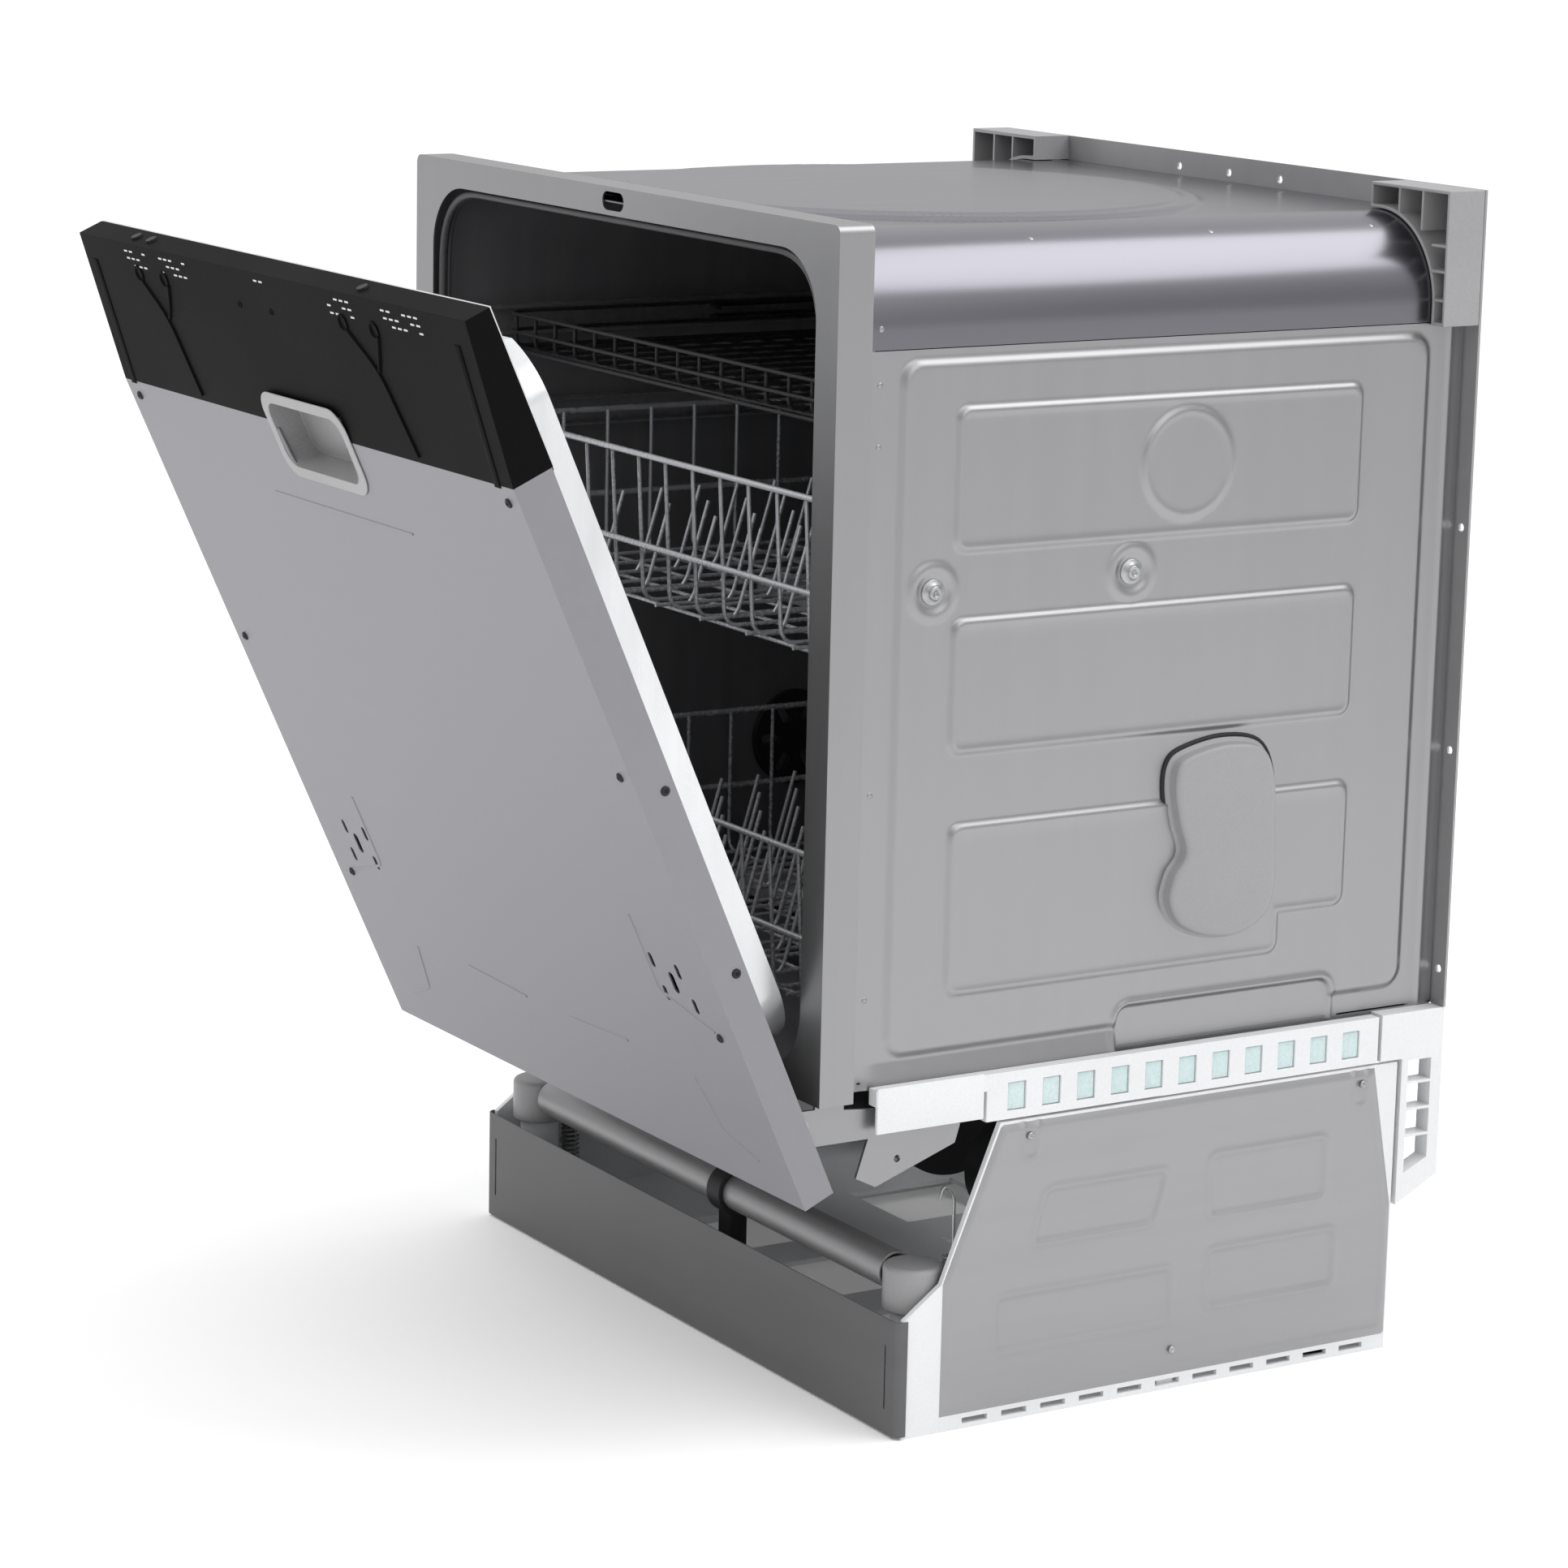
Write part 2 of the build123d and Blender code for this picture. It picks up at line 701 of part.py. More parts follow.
rim_low = 80.0
box_x, box_along, box_width, box_high = 80.0, 370.0, 190.0, 150.0
box_face, box_deep = 60.0, 19.0  # the dispenser's inner face inside the door's outer face, and its depth
with BuildPart() as door_liner:
    with BuildSketch(door_side(door_half - sheet - gap)):
        with BuildLine():
            Polyline(
                (wall_depth(rim_low) - 2 * sheet, rim_low), (wall_depth(rim_low) - sheet, rim_low),
                (wall_high - sheet, panel_height - 8), (wall_high + 1 + sheet + gap, panel_height - 2),
                (wall_high + 1 + sheet + gap, door_height), (wall_high + 1 + gap, door_height),
                (wall_high + 1 + gap, panel_height - 2), (wall_high - 2 * sheet, panel_height - 8),
                close=True,
            )
        make_face()
    extrude(amount=-2 * (door_half - sheet - gap))
    add(raised_tray([
        (wall_low - 2, liner_low), (liner_depth_low, liner_low + 4),
        (liner_depth_high, liner_high - 8), (wall_high + 2, liner_high),
        (wall_high + 1 + gap, panel_height - 2), (wall_high - 2, panel_height - 8),
    ], 0))
    add(raised_tray([
        (0, liner_low + sheet), (liner_depth_low - sheet, liner_low + 4 + sheet),
        (liner_depth_high - sheet, liner_high - 8 - sheet), (wall_high, liner_high - 2 * sheet),
        (0, liner_high - 2 * sheet),
    ], sheet), mode=Mode.SUBTRACT)
    with BuildSketch(door_face(wall_low)):
        with Locations((box_x, box_along)):
            Rectangle(box_width + 2 * gap, box_high + 2 * gap)
    extrude(amount=-(liner_depth_high - wall_low + 1), mode=Mode.SUBTRACT)
store(door_liner, "door_liner")

with BuildPart() as dispenser:
    with BuildSketch(door_face(box_face - box_deep)):
        with Locations((box_x, box_along)):
            Rectangle(box_width, box_high)
    extrude(amount=-box_deep)
    with BuildSketch(door_face(box_face - box_deep + 3)):
        with Locations((box_x - 35, box_along)):
            RectangleRounded(90, 80, 10)
    extrude(amount=-box_deep, mode=Mode.SUBTRACT)
store(dispenser, "dispenser")

lid_hinge_along = box_along - 47
with BuildPart() as dispenser_lid:
    with BuildSketch(door_face(box_face + gap)):
        with Locations((box_x - 35, box_along)):
            RectangleRounded(100, 92, 8)
    extrude(amount=-2.5)
    with BuildSketch(door_side(box_x - 75)):
        with Locations((box_face + gap + 3, lid_hinge_along)):
            Circle(2.4)
    extrude(amount=80)
store(dispenser_lid, "dispenser_lid")

with BuildPart() as rinse_cap:
    with BuildSketch(door_face(box_face + gap)):
        with Locations((box_x + 60, box_along)):
            Circle(22)
    extrude(amount=-2)
    with BuildSketch(door_face(box_face + 2 + gap)):
        with Locations((box_x + 60, box_along)):
            Rectangle(34, 6)
    extrude(amount=-1.5)
store(rinse_cap, "rinse_cap")

arm_x, arm_thick = 289.5, 3.0
with BuildPart() as hinge_arms:
    for side in (1, -1):
        with BuildSketch(door_side(side * arm_x)):
            with Locations((pivot_depth, pivot_along)):
                Circle(9)
            with Locations((12, 170)):
                Rectangle(14, 250)
            with Locations((pivot_depth, pivot_along)):
                Circle(pin_radius + running, mode=Mode.SUBTRACT)
        extrude(amount=side * arm_thick)
store(hinge_arms, "hinge_arms")

with BuildPart() as door_latch:
    with BuildSketch(door_face(wall_high + 1 + sheet + 2 * gap)):
        with Locations((0, latch_along)):
            Rectangle(18, 5)
    extrude(amount=-3)
    with BuildSketch(door_face(wall_high + 1 + sheet + 2 * gap)):
        with Locations((0, latch_along + 1)):
            Rectangle(12, 3)
    extrude(amount=-8)
store(door_latch, "door_latch")

with BuildPart() as door_screws:
    for side in (1, -1):
        for along in (540, 338):
            with BuildSketch(door_face()):
                with Locations((side * 282, along)):
                    Circle(3)
            extrude(amount=1)
        for along in (320, 180):
            with BuildSketch(door_side(side * door_half)):
                with Locations((wall_depth(along) - 8, along)):
                    Circle(3.2)
            extrude(amount=side * 1)
store(door_screws, "door_screws")

# ---------------------------------------------------------------- base
wall_x = 292.0
boss_radius, boss_top = 15.0, 84.0
feet = [(side * foot_x, y) for side in (-1, 1) for y in (foot_front, foot_rear)]
base_back = depth - 40
with BuildPart() as base_tray:
    with BuildSketch(Plane.XY.offset(base_floor)):
        with Locations((0, at(base_front))):
            Rectangle(2 * (wall_x + base_wall), base_back - base_front, align=(Align.CENTER, Align.MIN))
        with Locations((0, at((kick_y + base_back) / 2 + 20))):
            with GridLocations(130, 150, 3, 2):
                Rectangle(86, 96, mode=Mode.SUBTRACT)
    extrude(amount=base_floor_thick)
    for side in (1, -1):
        with BuildSketch(beside(side * wall_x)):
            with BuildLine():
                Polyline(
                    (at(base_front), 0), (at(base_front), kick_height), (at(103), 107),
                    (at(148), base_top), (at(base_back), base_top), (at(base_back), 0), close=True,
                )
            make_face()
        extrude(amount=side * base_wall)
    for side in (1, -1):
        with BuildSketch(beside(side * wall_x)):
            with Locations((at((base_front + base_back) / 2 + 15), 5.5)):
                with GridLocations(33, 10, 11, 1):
                    Rectangle(21, 4)
        extrude(amount=side * base_wall, mode=Mode.SUBTRACT)
    for y, high in ((base_front, 60), (base_back - base_wall, 120)):
        with BuildSketch(facing(y)):
            Rectangle(2 * wall_x, high, align=(Align.CENTER, Align.MIN))
        extrude(amount=-base_wall)
    with BuildSketch(Plane.XY):
        with Locations((0, 0)):
            Rectangle(2 * wall_x, 14)
    extrude(amount=base_floor)
    for x in (-200, 200):
        with BuildSketch(beside(x - 6)):
            with Locations((at((base_front + base_back) / 2), 0)):
                Rectangle(base_back - base_front, base_floor, align=(Align.CENTER, Align.MIN))
        extrude(amount=12)
    with BuildSketch(Plane.XY.offset(base_floor)):
        with Locations(*[(x, at(y)) for x, y in feet]):
            Circle(boss_radius)
    extrude(amount=boss_top - base_floor)
    with BuildSketch(Plane.XY.offset(-1)):
        with Locations(*[(x, at(y)) for x, y in feet]):
            Circle(foot_radius + running)
    extrude(amount=boss_top + 2, mode=Mode.SUBTRACT)
store(base_tray, "base_tray")

foot_places = {
    "foot_front_left": (-foot_x, foot_front), "foot_front_right": (foot_x, foot_front),
    "foot_rear_left": (-foot_x, foot_rear), "foot_rear_right": (foot_x, foot_rear),
}
for name, (x, y) in foot_places.items():
    with BuildPart() as foot:
        with BuildSketch(Plane.XY):
            with Locations((x, at(y))):
                Circle(18)
        extrude(amount=base_floor - 1)
        with BuildSketch(Plane.XY):
            with Locations((x, at(y))):
                Circle(foot_radius)
        extrude(amount=108)
    store(foot, name)

with BuildPart() as leg_caps:
    with BuildSketch(Plane.XY.offset(boss_top)):
        with Locations((-foot_x, at(foot_front)), (foot_x, at(foot_front))):
            Circle(21)
    extrude(amount=32)
    with BuildSketch(Plane.XY.offset(boss_top)):
        with Locations((-foot_x, at(foot_front)), (foot_x, at(foot_front))):
            Circle(foot_radius + 3)
    extrude(amount=28, mode=Mode.SUBTRACT)
    fillet(leg_caps.faces().filter_by(Axis.Z).sort_by(Axis.Z)[-2:].edges(), 4)
store(leg_caps, "leg_caps")

beam_end = foot_x - 21 - gap
clip_x = 27.0
with BuildPart() as front_beam:
    with BuildSketch(beside(-beam_end)):
        with Locations((at(foot_front), beam_z)):
            Circle(beam_radius)
            Circle(beam_radius - 2, mode=Mode.SUBTRACT)
    extrude(amount=2 * beam_end)
store(front_beam, "front_beam")

with BuildPart() as beam_clip:
    with BuildSketch(beside(clip_x - 9)):
        with Locations((at(foot_front), beam_z)):
            Circle(beam_radius + 4)
        with Locations((at(foot_front), (beam_z + base_floor + base_floor_thick) / 2)):
            Rectangle(14, beam_z - base_floor - base_floor_thick)
        with Locations((at(foot_front), beam_z)):
            Circle(beam_radius, mode=Mode.SUBTRACT)
    extrude(amount=18)
store(beam_clip, "beam_clip")


def fold(half_width, near, far, corner):
    """Flat sheet seen from above with its two front corners bent back."""
    with BuildSketch() as shape:
        with BuildLine():
            FilletPolyline(
                (-half_width, at(far)), (-half_width, at(near)), (half_width, at(near)),
                (half_width, at(far)), radius=corner,
            )
            Line((half_width, at(far)), (-half_width, at(far)))
        make_face()
    return shape.sketch


kick_return = 9.0
with BuildPart() as kick_plate:
    with BuildSketch(Plane.XY.offset(2)):
        add(fold(half - 1, kick_y, kick_y + kick_return, 6))
        inside = fold(half - 1 - sheet, kick_y + sheet, kick_y + kick_return + 1, 6 - sheet)
        add(inside, mode=Mode.SUBTRACT)
    extrude(amount=kick_height - 2)
    for x in (-half + 16, half - 16):
        with BuildSketch(facing(kick_y)):
            with Locations((x, kick_height / 2)):
                Rectangle(1.6, 46)
        extrude(amount=-sheet, mode=Mode.SUBTRACT)
store(kick_plate, "kick_plate")

side_outline = [(104, 11), (104, 107), (149, 215), (474, 215), (494, 109), (494, 11)]
with BuildPart() as side_plate_right:
    with BuildSketch(beside(half - plate_thick)) as cover:
        with BuildLine():
            Polyline(*[(at(y), z) for y, z in side_outline], close=True)
        make_face()
        fillet(cover.vertices(), 4)
    extrude(amount=plate_thick)
store(side_plate_right, "side_plate_right")
store_mirrored(side_plate_right, "side_plate_left")

with BuildPart() as plate_screws:
    for side in (1, -1):
        with BuildSketch(beside(side * half)):
            with Locations((at(172), 205), (at(462), 205), (at(300), 30)):
                Circle(4)
        extrude(amount=side * 1.2)
store(plate_screws, "plate_screws")

rail_thick = 10.0
with BuildPart() as support_rail_right:
    with BuildSketch(beside(half - 1 - rail_thick)):
        with Locations((at(305), (rail_low + rail_high) / 2)):
            Rectangle(340, rail_high - rail_low)
        with Locations((at(90), 247)):
            Rectangle(90, 12)
    extrude(amount=rail_thick)
    with BuildSketch(beside(half - 5)):
        with Locations((at(305), (rail_low + rail_high) / 2 - 1)):
            with GridLocations(29, 10, 11, 1):
                Rectangle(15, 20)
    extrude(amount=rail_thick, mode=Mode.SUBTRACT)
store(support_rail_right, "support_rail_right")
store_mirrored(support_rail_right, "support_rail_left")

with BuildPart() as rear_column_right:
    with BuildSketch(beside(tub_half + gap)):
        with BuildLine():
            Polyline(
                (at(498), 109), (at(depth), 128), (at(depth), rear_foot - gap), (at(478), rear_foot - gap),
                (at(478), rail_low), (at(498), rail_low), close=True,
            )
        make_face()
        with BuildLine():
            Polyline(
                (at(504), 132), (at(525), 142), (at(525), rail_low - 2), (at(504), rail_low - 2), close=True
            )
        make_face(mode=Mode.SUBTRACT)
        with Locations(*[(at(514), z) for z in (160, 180, 200)]):
            Rectangle(24, 2)
    extrude(amount=half - 1 - tub_half - gap)
store(rear_column_right, "rear_column_right")
store_mirrored(rear_column_right, "rear_column_left")

plate_x = 286.0
plate_outline = [
    (-26, 217), (-26, 243), (2, 243), (2, 300), (25, 300), (25, 240), (91, 234), (120, 218), (116, 205),
    (52, 182), (36, 190), (45, 217),
]
with BuildPart() as hinge_plate_right:
    with BuildSketch(beside(plate_x)) as ear:
        with BuildLine():
            Polyline(*[(at(y), z) for y, z in plate_outline], close=True)
        make_face()
        fillet(ear.vertices().group_by(Axis.X)[0], 8)
    extrude(amount=2.5)
    with BuildSketch(beside(plate_x)):
        with Locations((at(-pivot_back), pivot_z)):
            Circle(pin_radius)
    extrude(amount=arm_x + arm_thick + 1 - plate_x)
    with BuildSketch(beside(plate_x)):
        with Locations((at(69), 200), (at(100), 222)):
            Circle(2.5)
    extrude(amount=2.5, mode=Mode.SUBTRACT)
store(hinge_plate_right, "hinge_plate_right")
store_mirrored(hinge_plate_right, "hinge_plate_left")

with BuildPart() as door_springs:
    for side in (1, -1):
        with BuildSketch(Plane.XY.offset(base_floor + base_floor_thick)):
            with Locations((side * 272, at(128))):
                Circle(8)
        extrude(amount=110)
        with BuildSketch(Plane.XY.offset(base_floor + base_floor_thick + 110)):
            with Locations((side * 272, at(128))):
                Circle(2)
        extrude(amount=45)
store(door_springs, "door_springs")
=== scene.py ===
# %% [markdown]
# # A built-in dishwasher with its door part open
# The machine stands on a pale studio floor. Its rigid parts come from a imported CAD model, and this
# notebook dresses them: it rounds their edges, presses beads into their sheets, winds their springs and
# wires, and gives each surface a procedural finish. Everything is in metres, in the CAD model's own
# frame: +Z is up, the door is on the -Y side, and the machine's right side is +X.

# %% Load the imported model
import bpy
import bmesh
import json
import math
import numpy as np
from mathutils import Matrix, Vector


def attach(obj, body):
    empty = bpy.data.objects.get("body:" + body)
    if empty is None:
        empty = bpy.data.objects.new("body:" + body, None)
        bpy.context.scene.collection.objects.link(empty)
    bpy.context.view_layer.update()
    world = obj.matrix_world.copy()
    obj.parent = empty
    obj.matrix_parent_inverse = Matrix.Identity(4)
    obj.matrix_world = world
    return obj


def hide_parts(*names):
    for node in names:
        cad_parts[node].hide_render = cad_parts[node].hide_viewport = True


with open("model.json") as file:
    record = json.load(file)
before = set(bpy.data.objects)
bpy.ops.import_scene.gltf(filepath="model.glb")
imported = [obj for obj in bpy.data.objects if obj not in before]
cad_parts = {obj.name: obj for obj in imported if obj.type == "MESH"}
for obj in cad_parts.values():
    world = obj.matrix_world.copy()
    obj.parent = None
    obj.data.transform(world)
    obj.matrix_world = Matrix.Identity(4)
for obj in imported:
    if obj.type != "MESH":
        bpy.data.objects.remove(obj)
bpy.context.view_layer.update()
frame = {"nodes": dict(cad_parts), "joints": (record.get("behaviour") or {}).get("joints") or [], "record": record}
nodes = frame["nodes"]
MM = 0.001
FRONT = -0.300  # plane of the tub's front frame

# %% [markdown]
# ## Camera, floor and light
# A long lens far from the machine keeps its upright lines nearly parallel. The camera is placed by its
# position and by three angles: yaw around the vertical, pitch below the horizon, and a small roll. A
# matrix with the camera's own axes as columns says all three at once, which avoids guessing at Euler
# angle orders.

# %% Camera
CAMERA_PLACE = Vector((2.893, -1.943, 1.121))
CAMERA_YAW = math.radians(58.2)
CAMERA_PITCH = math.radians(12.0)
CAMERA_ROLL = math.radians(1.27)
CAMERA_LENS = 109.3

forward = Vector((
    -math.sin(CAMERA_YAW) * math.cos(CAMERA_PITCH),
    math.cos(CAMERA_YAW) * math.cos(CAMERA_PITCH),
    -math.sin(CAMERA_PITCH),
))
level_right = Vector((math.cos(CAMERA_YAW), math.sin(CAMERA_YAW), 0.0))
level_up = level_right.cross(forward)
right = math.cos(CAMERA_ROLL) * level_right + math.sin(CAMERA_ROLL) * level_up
up = math.cos(CAMERA_ROLL) * level_up - math.sin(CAMERA_ROLL) * level_right
camera_data = bpy.data.cameras.new("studio_camera")
camera_data.lens = CAMERA_LENS
camera_data.sensor_width = 36.0
camera_data.clip_end = 100.0
camera = bpy.data.objects.new("studio_camera", camera_data)
bpy.context.scene.collection.objects.link(camera)
axes = Matrix((right, up, -forward)).transposed()
camera.matrix_world = Matrix.Translation(CAMERA_PLACE) @ axes.to_4x4()
bpy.context.scene.camera = camera
print("camera looks along", [round(v, 3) for v in forward])

# %% [markdown]
# A metal machine shows what surrounds it, so the light is soft and comes from large panes: one high
# behind the machine, one beside it and one in front. The surrounding is dim at the horizon and bright
# overhead, so a level roof looks dark while its rounded corner catches a bright band. The roof's steel is
# also given a darker, slightly violet colour than the walls' steel, as painted shade and painted reflection.
# The floor is a wide pale sheet.

# %% Floor, surrounding and lights
FLOOR_HALF = 40.0


def node_material(name):
    """An empty node material with its output and shader, and the place to hang more nodes."""
    material = bpy.data.materials.new(name)
    material.use_nodes = True
    return material, material.node_tree, material.node_tree.nodes["Principled BSDF"]


def add_node(tree, kind, values=None):
    """A new node with some of its inputs set, by name or by number."""
    node = tree.nodes.new(kind)
    for key, value in (values or {}).items():
        node.inputs[key].default_value = value
    return node


def join_nodes(tree, *joints):
    """Links given as (node, its output, next node, its input)."""
    for giver, output, taker, given in joints:
        tree.links.new(giver.outputs[output], taker.inputs[given])


def link_object(name, mesh):
    piece = bpy.data.objects.new(name, mesh)
    bpy.context.scene.collection.objects.link(piece)
    return piece


floor_mesh = bpy.data.meshes.new("studio_floor")
floor_corners = [(x * FLOOR_HALF, y * FLOOR_HALF, 0.0) for x, y in ((-1, -1), (1, -1), (1, 1), (-1, 1))]
floor_mesh.from_pydata(floor_corners, [], [(0, 1, 2, 3)])
floor = link_object("studio_floor", floor_mesh)
floor_material, floor_tree, floor_shader = node_material("studio_floor_paint")
floor_shader.inputs["Roughness"].default_value = 0.9
floor_shader.inputs["Specular IOR Level"].default_value = 0.1
floor_shader.inputs["Emission Color"].default_value = (1, 1, 1, 1)
floor_shader.inputs["Emission Strength"].default_value = 0.07
floor_noise = add_node(floor_tree, "ShaderNodeTexNoise", {"Scale": 0.4})
floor_ramp = add_node(floor_tree, "ShaderNodeValToRGB")
floor_ramp.color_ramp.elements[0].color = (0.93, 0.93, 0.93, 1)
floor_ramp.color_ramp.elements[1].color = (0.96, 0.96, 0.96, 1)
join_nodes(
    floor_tree,
    (floor_noise, "Fac", floor_ramp, "Fac"),
    (floor_ramp, "Color", floor_shader, "Base Color"),
)
floor_mesh.materials.append(floor_material)

world = bpy.data.worlds.new("studio")
world.use_nodes = True
sky = world.node_tree
sky_place = add_node(sky, "ShaderNodeTexCoord")
sky_parts = add_node(sky, "ShaderNodeSeparateXYZ")
sky_ramp = add_node(sky, "ShaderNodeValToRGB")
SKY_LEVELS = ((0.0, 0.62), (0.22, 0.66), (0.55, 1.05), (1.0, 1.25))  # height over the horizon, brightness
SKY_BLUE = 1.01
sky_ramp.color_ramp.elements[0].position = SKY_LEVELS[0][0]
sky_ramp.color_ramp.elements[1].position = SKY_LEVELS[-1][0]
for height, _ in SKY_LEVELS[1:-1]:
    sky_ramp.color_ramp.elements.new(height)
for stop, (height, level) in zip(sky_ramp.color_ramp.elements, SKY_LEVELS):
    stop.color = (level, level, level * SKY_BLUE, 1)
join_nodes(
    sky,
    (sky_place, "Generated", sky_parts, "Vector"),
    (sky_parts, "Z", sky_ramp, "Fac"),
    (sky_ramp, "Color", sky.nodes["Background"], "Color"),
)
bpy.context.scene.world = world
bpy.context.scene.view_settings.view_transform = "Standard"


def pane_light(name, place, target, width, height, watts):
    """A soft rectangular light that looks at a target."""
    data = bpy.data.lights.new(name, "AREA")
    data.shape = "RECTANGLE"
    data.size = width
    data.size_y = height
    data.energy = watts
    lamp = bpy.data.objects.new(name, data)
    bpy.context.scene.collection.objects.link(lamp)
    lamp.location = place
    lamp.rotation_euler = (Vector(target) - Vector(place)).to_track_quat("-Z", "Y").to_euler()
    return lamp


pane_light("pane_above", (0.9, 1.6, 3.0), (0.2, 0.1, 0.8), 2.6, 1.8, 42)
pane_light("pane_right", (3.2, 0.6, 2.2), (0, 0, 0.5), 1.6, 2.4, 14)
pane_light("pane_front", (-0.7, -1.8, 1.9), (0, -0.5, 0.9), 1.3, 0.8, 9)

# %% [markdown]
# ## Finishes
# Sheet steel is not one grey: rolling leaves faint streaks along the sheet, zinc and handling leave soft
# clouds, and both change the gloss a little. One helper mixes a streaked noise and a cloudy noise in
# Object coordinates, and sends them to the colour, the roughness and a very shallow bump. Plastics use
# the same helper with other scales. Values that are the same everywhere are set on the shader's own
# sockets.

# %% Finish helper
CLOUD_SCALE, CLOUD_SHARE = 5.0, 0.55
BUMP_DEPTH = 0.002


def linear(level):
    """Scene-linear value of a display level from 0 to 255."""
    share = level / 255
    return share / 12.92 if share <= 0.04045 else ((share + 0.055) / 1.055) ** 2.4


def shade(red, green, blue):
    return (linear(red), linear(green), linear(blue), 1.0)


def finish(name, dark, light, metallic, roughness, spread=0.06, grain=(1, 1, 1), scale=60.0, bump=0.02,
           specular=0.5):
    """A finish whose colour runs from dark to light along clouds and grain."""
    material, tree, shader = node_material(name)
    shader.inputs["Metallic"].default_value = metallic
    shader.inputs["Specular IOR Level"].default_value = specular
    place = add_node(tree, "ShaderNodeTexCoord")
    turn = add_node(tree, "ShaderNodeMapping", {"Scale": grain})
    clouds = add_node(tree, "ShaderNodeTexNoise", {"Scale": CLOUD_SCALE, "Detail": 3.0})
    streaks = add_node(tree, "ShaderNodeTexNoise", {"Scale": scale, "Detail": 4.0})
    both = add_node(tree, "ShaderNodeMath", {1: CLOUD_SHARE})
    both.operation = "MULTIPLY_ADD"
    streak_part = add_node(tree, "ShaderNodeMath", {1: 1 - CLOUD_SHARE})
    streak_part.operation = "MULTIPLY"
    colours = add_node(tree, "ShaderNodeValToRGB")
    colours.color_ramp.elements[0].position = 0.35
    colours.color_ramp.elements[1].position = 0.65
    colours.color_ramp.elements[0].color = shade(*dark)
    colours.color_ramp.elements[1].color = shade(*light)
    gloss = add_node(
        tree, "ShaderNodeMapRange",
        {"From Min": 0.3, "From Max": 0.7, "To Min": roughness - spread, "To Max": roughness + spread},
    )
    dents = add_node(tree, "ShaderNodeBump", {"Strength": bump, "Distance": BUMP_DEPTH})
    join_nodes(
        tree,
        (place, "Object", turn, "Vector"),
        (place, "Object", clouds, "Vector"),
        (turn, "Vector", streaks, "Vector"),
        (clouds, "Fac", both, 0),
        (streaks, "Fac", streak_part, 0),
        (streak_part, "Value", both, 2),
        (both, "Value", colours, "Fac"),
        (colours, "Color", shader, "Base Color"),
        (both, "Value", gloss, "Value"),
        (gloss, "Result", shader, "Roughness"),
        (streaks, "Fac", dents, "Height"),
        (dents, "Normal", shader, "Normal"),
    )
    return material


# %% The machine's finishes
ALONG_X, ALONG_Y, ALONG_Z = (0.06, 1.0, 1.0), (1.0, 0.06, 1.0), (1.0, 1.0, 0.06)
STILL = 0.015  # spread of the gloss on the large smooth sheets
pressed_steel = finish(
    "pressed_steel", (150, 150, 151), (153, 153, 154), 0.9, 0.33, STILL, ALONG_Z, bump=0.005
)
# The roof's steel is the walls' steel with a darker, slightly violet base colour: painted shade and a painted
# reflection of the dim horizon.
roof_steel = finish(
    "roof_steel", (117, 116, 122), (119, 118, 124), 0.95, 0.24, STILL, ALONG_Y, bump=0.004
)
inner_steel = finish("inner_steel", (124, 124, 127), (138, 138, 141), 0.55, 0.34, grain=ALONG_Z)
frame_steel = finish(
    "frame_steel", (146, 146, 147), (150, 150, 151), 0.85, 0.34, 0.03, ALONG_Z, bump=0.01
)
door_steel = finish(
    "door_steel", (134, 133, 137), (138, 137, 141), 0.6, 0.42, 0.03, ALONG_X, bump=0.008
)
liner_steel = finish("liner_steel", (206, 207, 208), (226, 227, 228), 0.7, 0.26, grain=ALONG_Z)
console_plastic = finish(
    "console_plastic", (14, 14, 15), (18, 18, 19), 0.0, 0.5, scale=900, bump=0.05, specular=0.03
)
# Near-black for the console's grooves and sockets, darker than the console's plastic: painted shade of their
# depth.
groove_black = finish("groove_black", (3, 3, 4), (7, 7, 8), 0.0, 0.6, scale=500, specular=0.05)
print_white = finish("print_white", (196, 196, 198), (214, 214, 216), 0.0, 0.5, scale=500)
cup_plastic = finish("cup_plastic", (138, 137, 138), (160, 159, 160), 0.2, 0.36, scale=700, bump=0.04)
white_plastic = finish("white_plastic", (214, 215, 216), (224, 225, 226), 0.0, 0.46, scale=600, bump=0.05)
milky_plastic = finish("milky_plastic", (184, 204, 204), (206, 220, 220), 0.0, 0.22, scale=400)
cover_steel = finish("cover_steel", (152, 152, 153), (158, 158, 159), 0.6, 0.42, grain=ALONG_Y, bump=0.01)
kick_steel = finish("kick_steel", (92, 92, 93), (100, 100, 101), 0.6, 0.42, grain=ALONG_X, bump=0.01)
cover_plastic = finish("cover_plastic", (142, 142, 143), (150, 150, 151), 0.0, 0.42, scale=700, bump=0.04)
dark_plastic = finish(
    "dark_plastic", (34, 34, 36), (46, 46, 48), 0.0, 0.45, scale=700, bump=0.05, specular=0.2
)
block_plastic = finish("block_plastic", (140, 140, 141), (150, 150, 151), 0.0, 0.5, scale=600, bump=0.05)
seal_rubber = finish("seal_rubber", (58, 58, 60), (76, 76, 78), 0.0, 0.5, scale=500, bump=0.04)
wire_coat = finish("wire_coat", (176, 177, 180), (196, 197, 200), 0.3, 0.28, scale=300)
zinc_steel = finish("zinc_steel", (150, 151, 152), (182, 183, 184), 0.8, 0.34, scale=200, bump=0.03)
by_slot = {
    "tub_steel": inner_steel, "frame_steel": frame_steel, "door_steel": door_steel,
    "liner_steel": liner_steel, "console_plastic": console_plastic, "cup_plastic": cup_plastic,
    "white_plastic": white_plastic, "cover_steel": cover_steel, "kick_steel": kick_steel,
    "cover_plastic": cover_plastic, "dark_plastic": dark_plastic, "seal_rubber": seal_rubber,
    "wire_coat": wire_coat, "zinc_steel": zinc_steel,
}
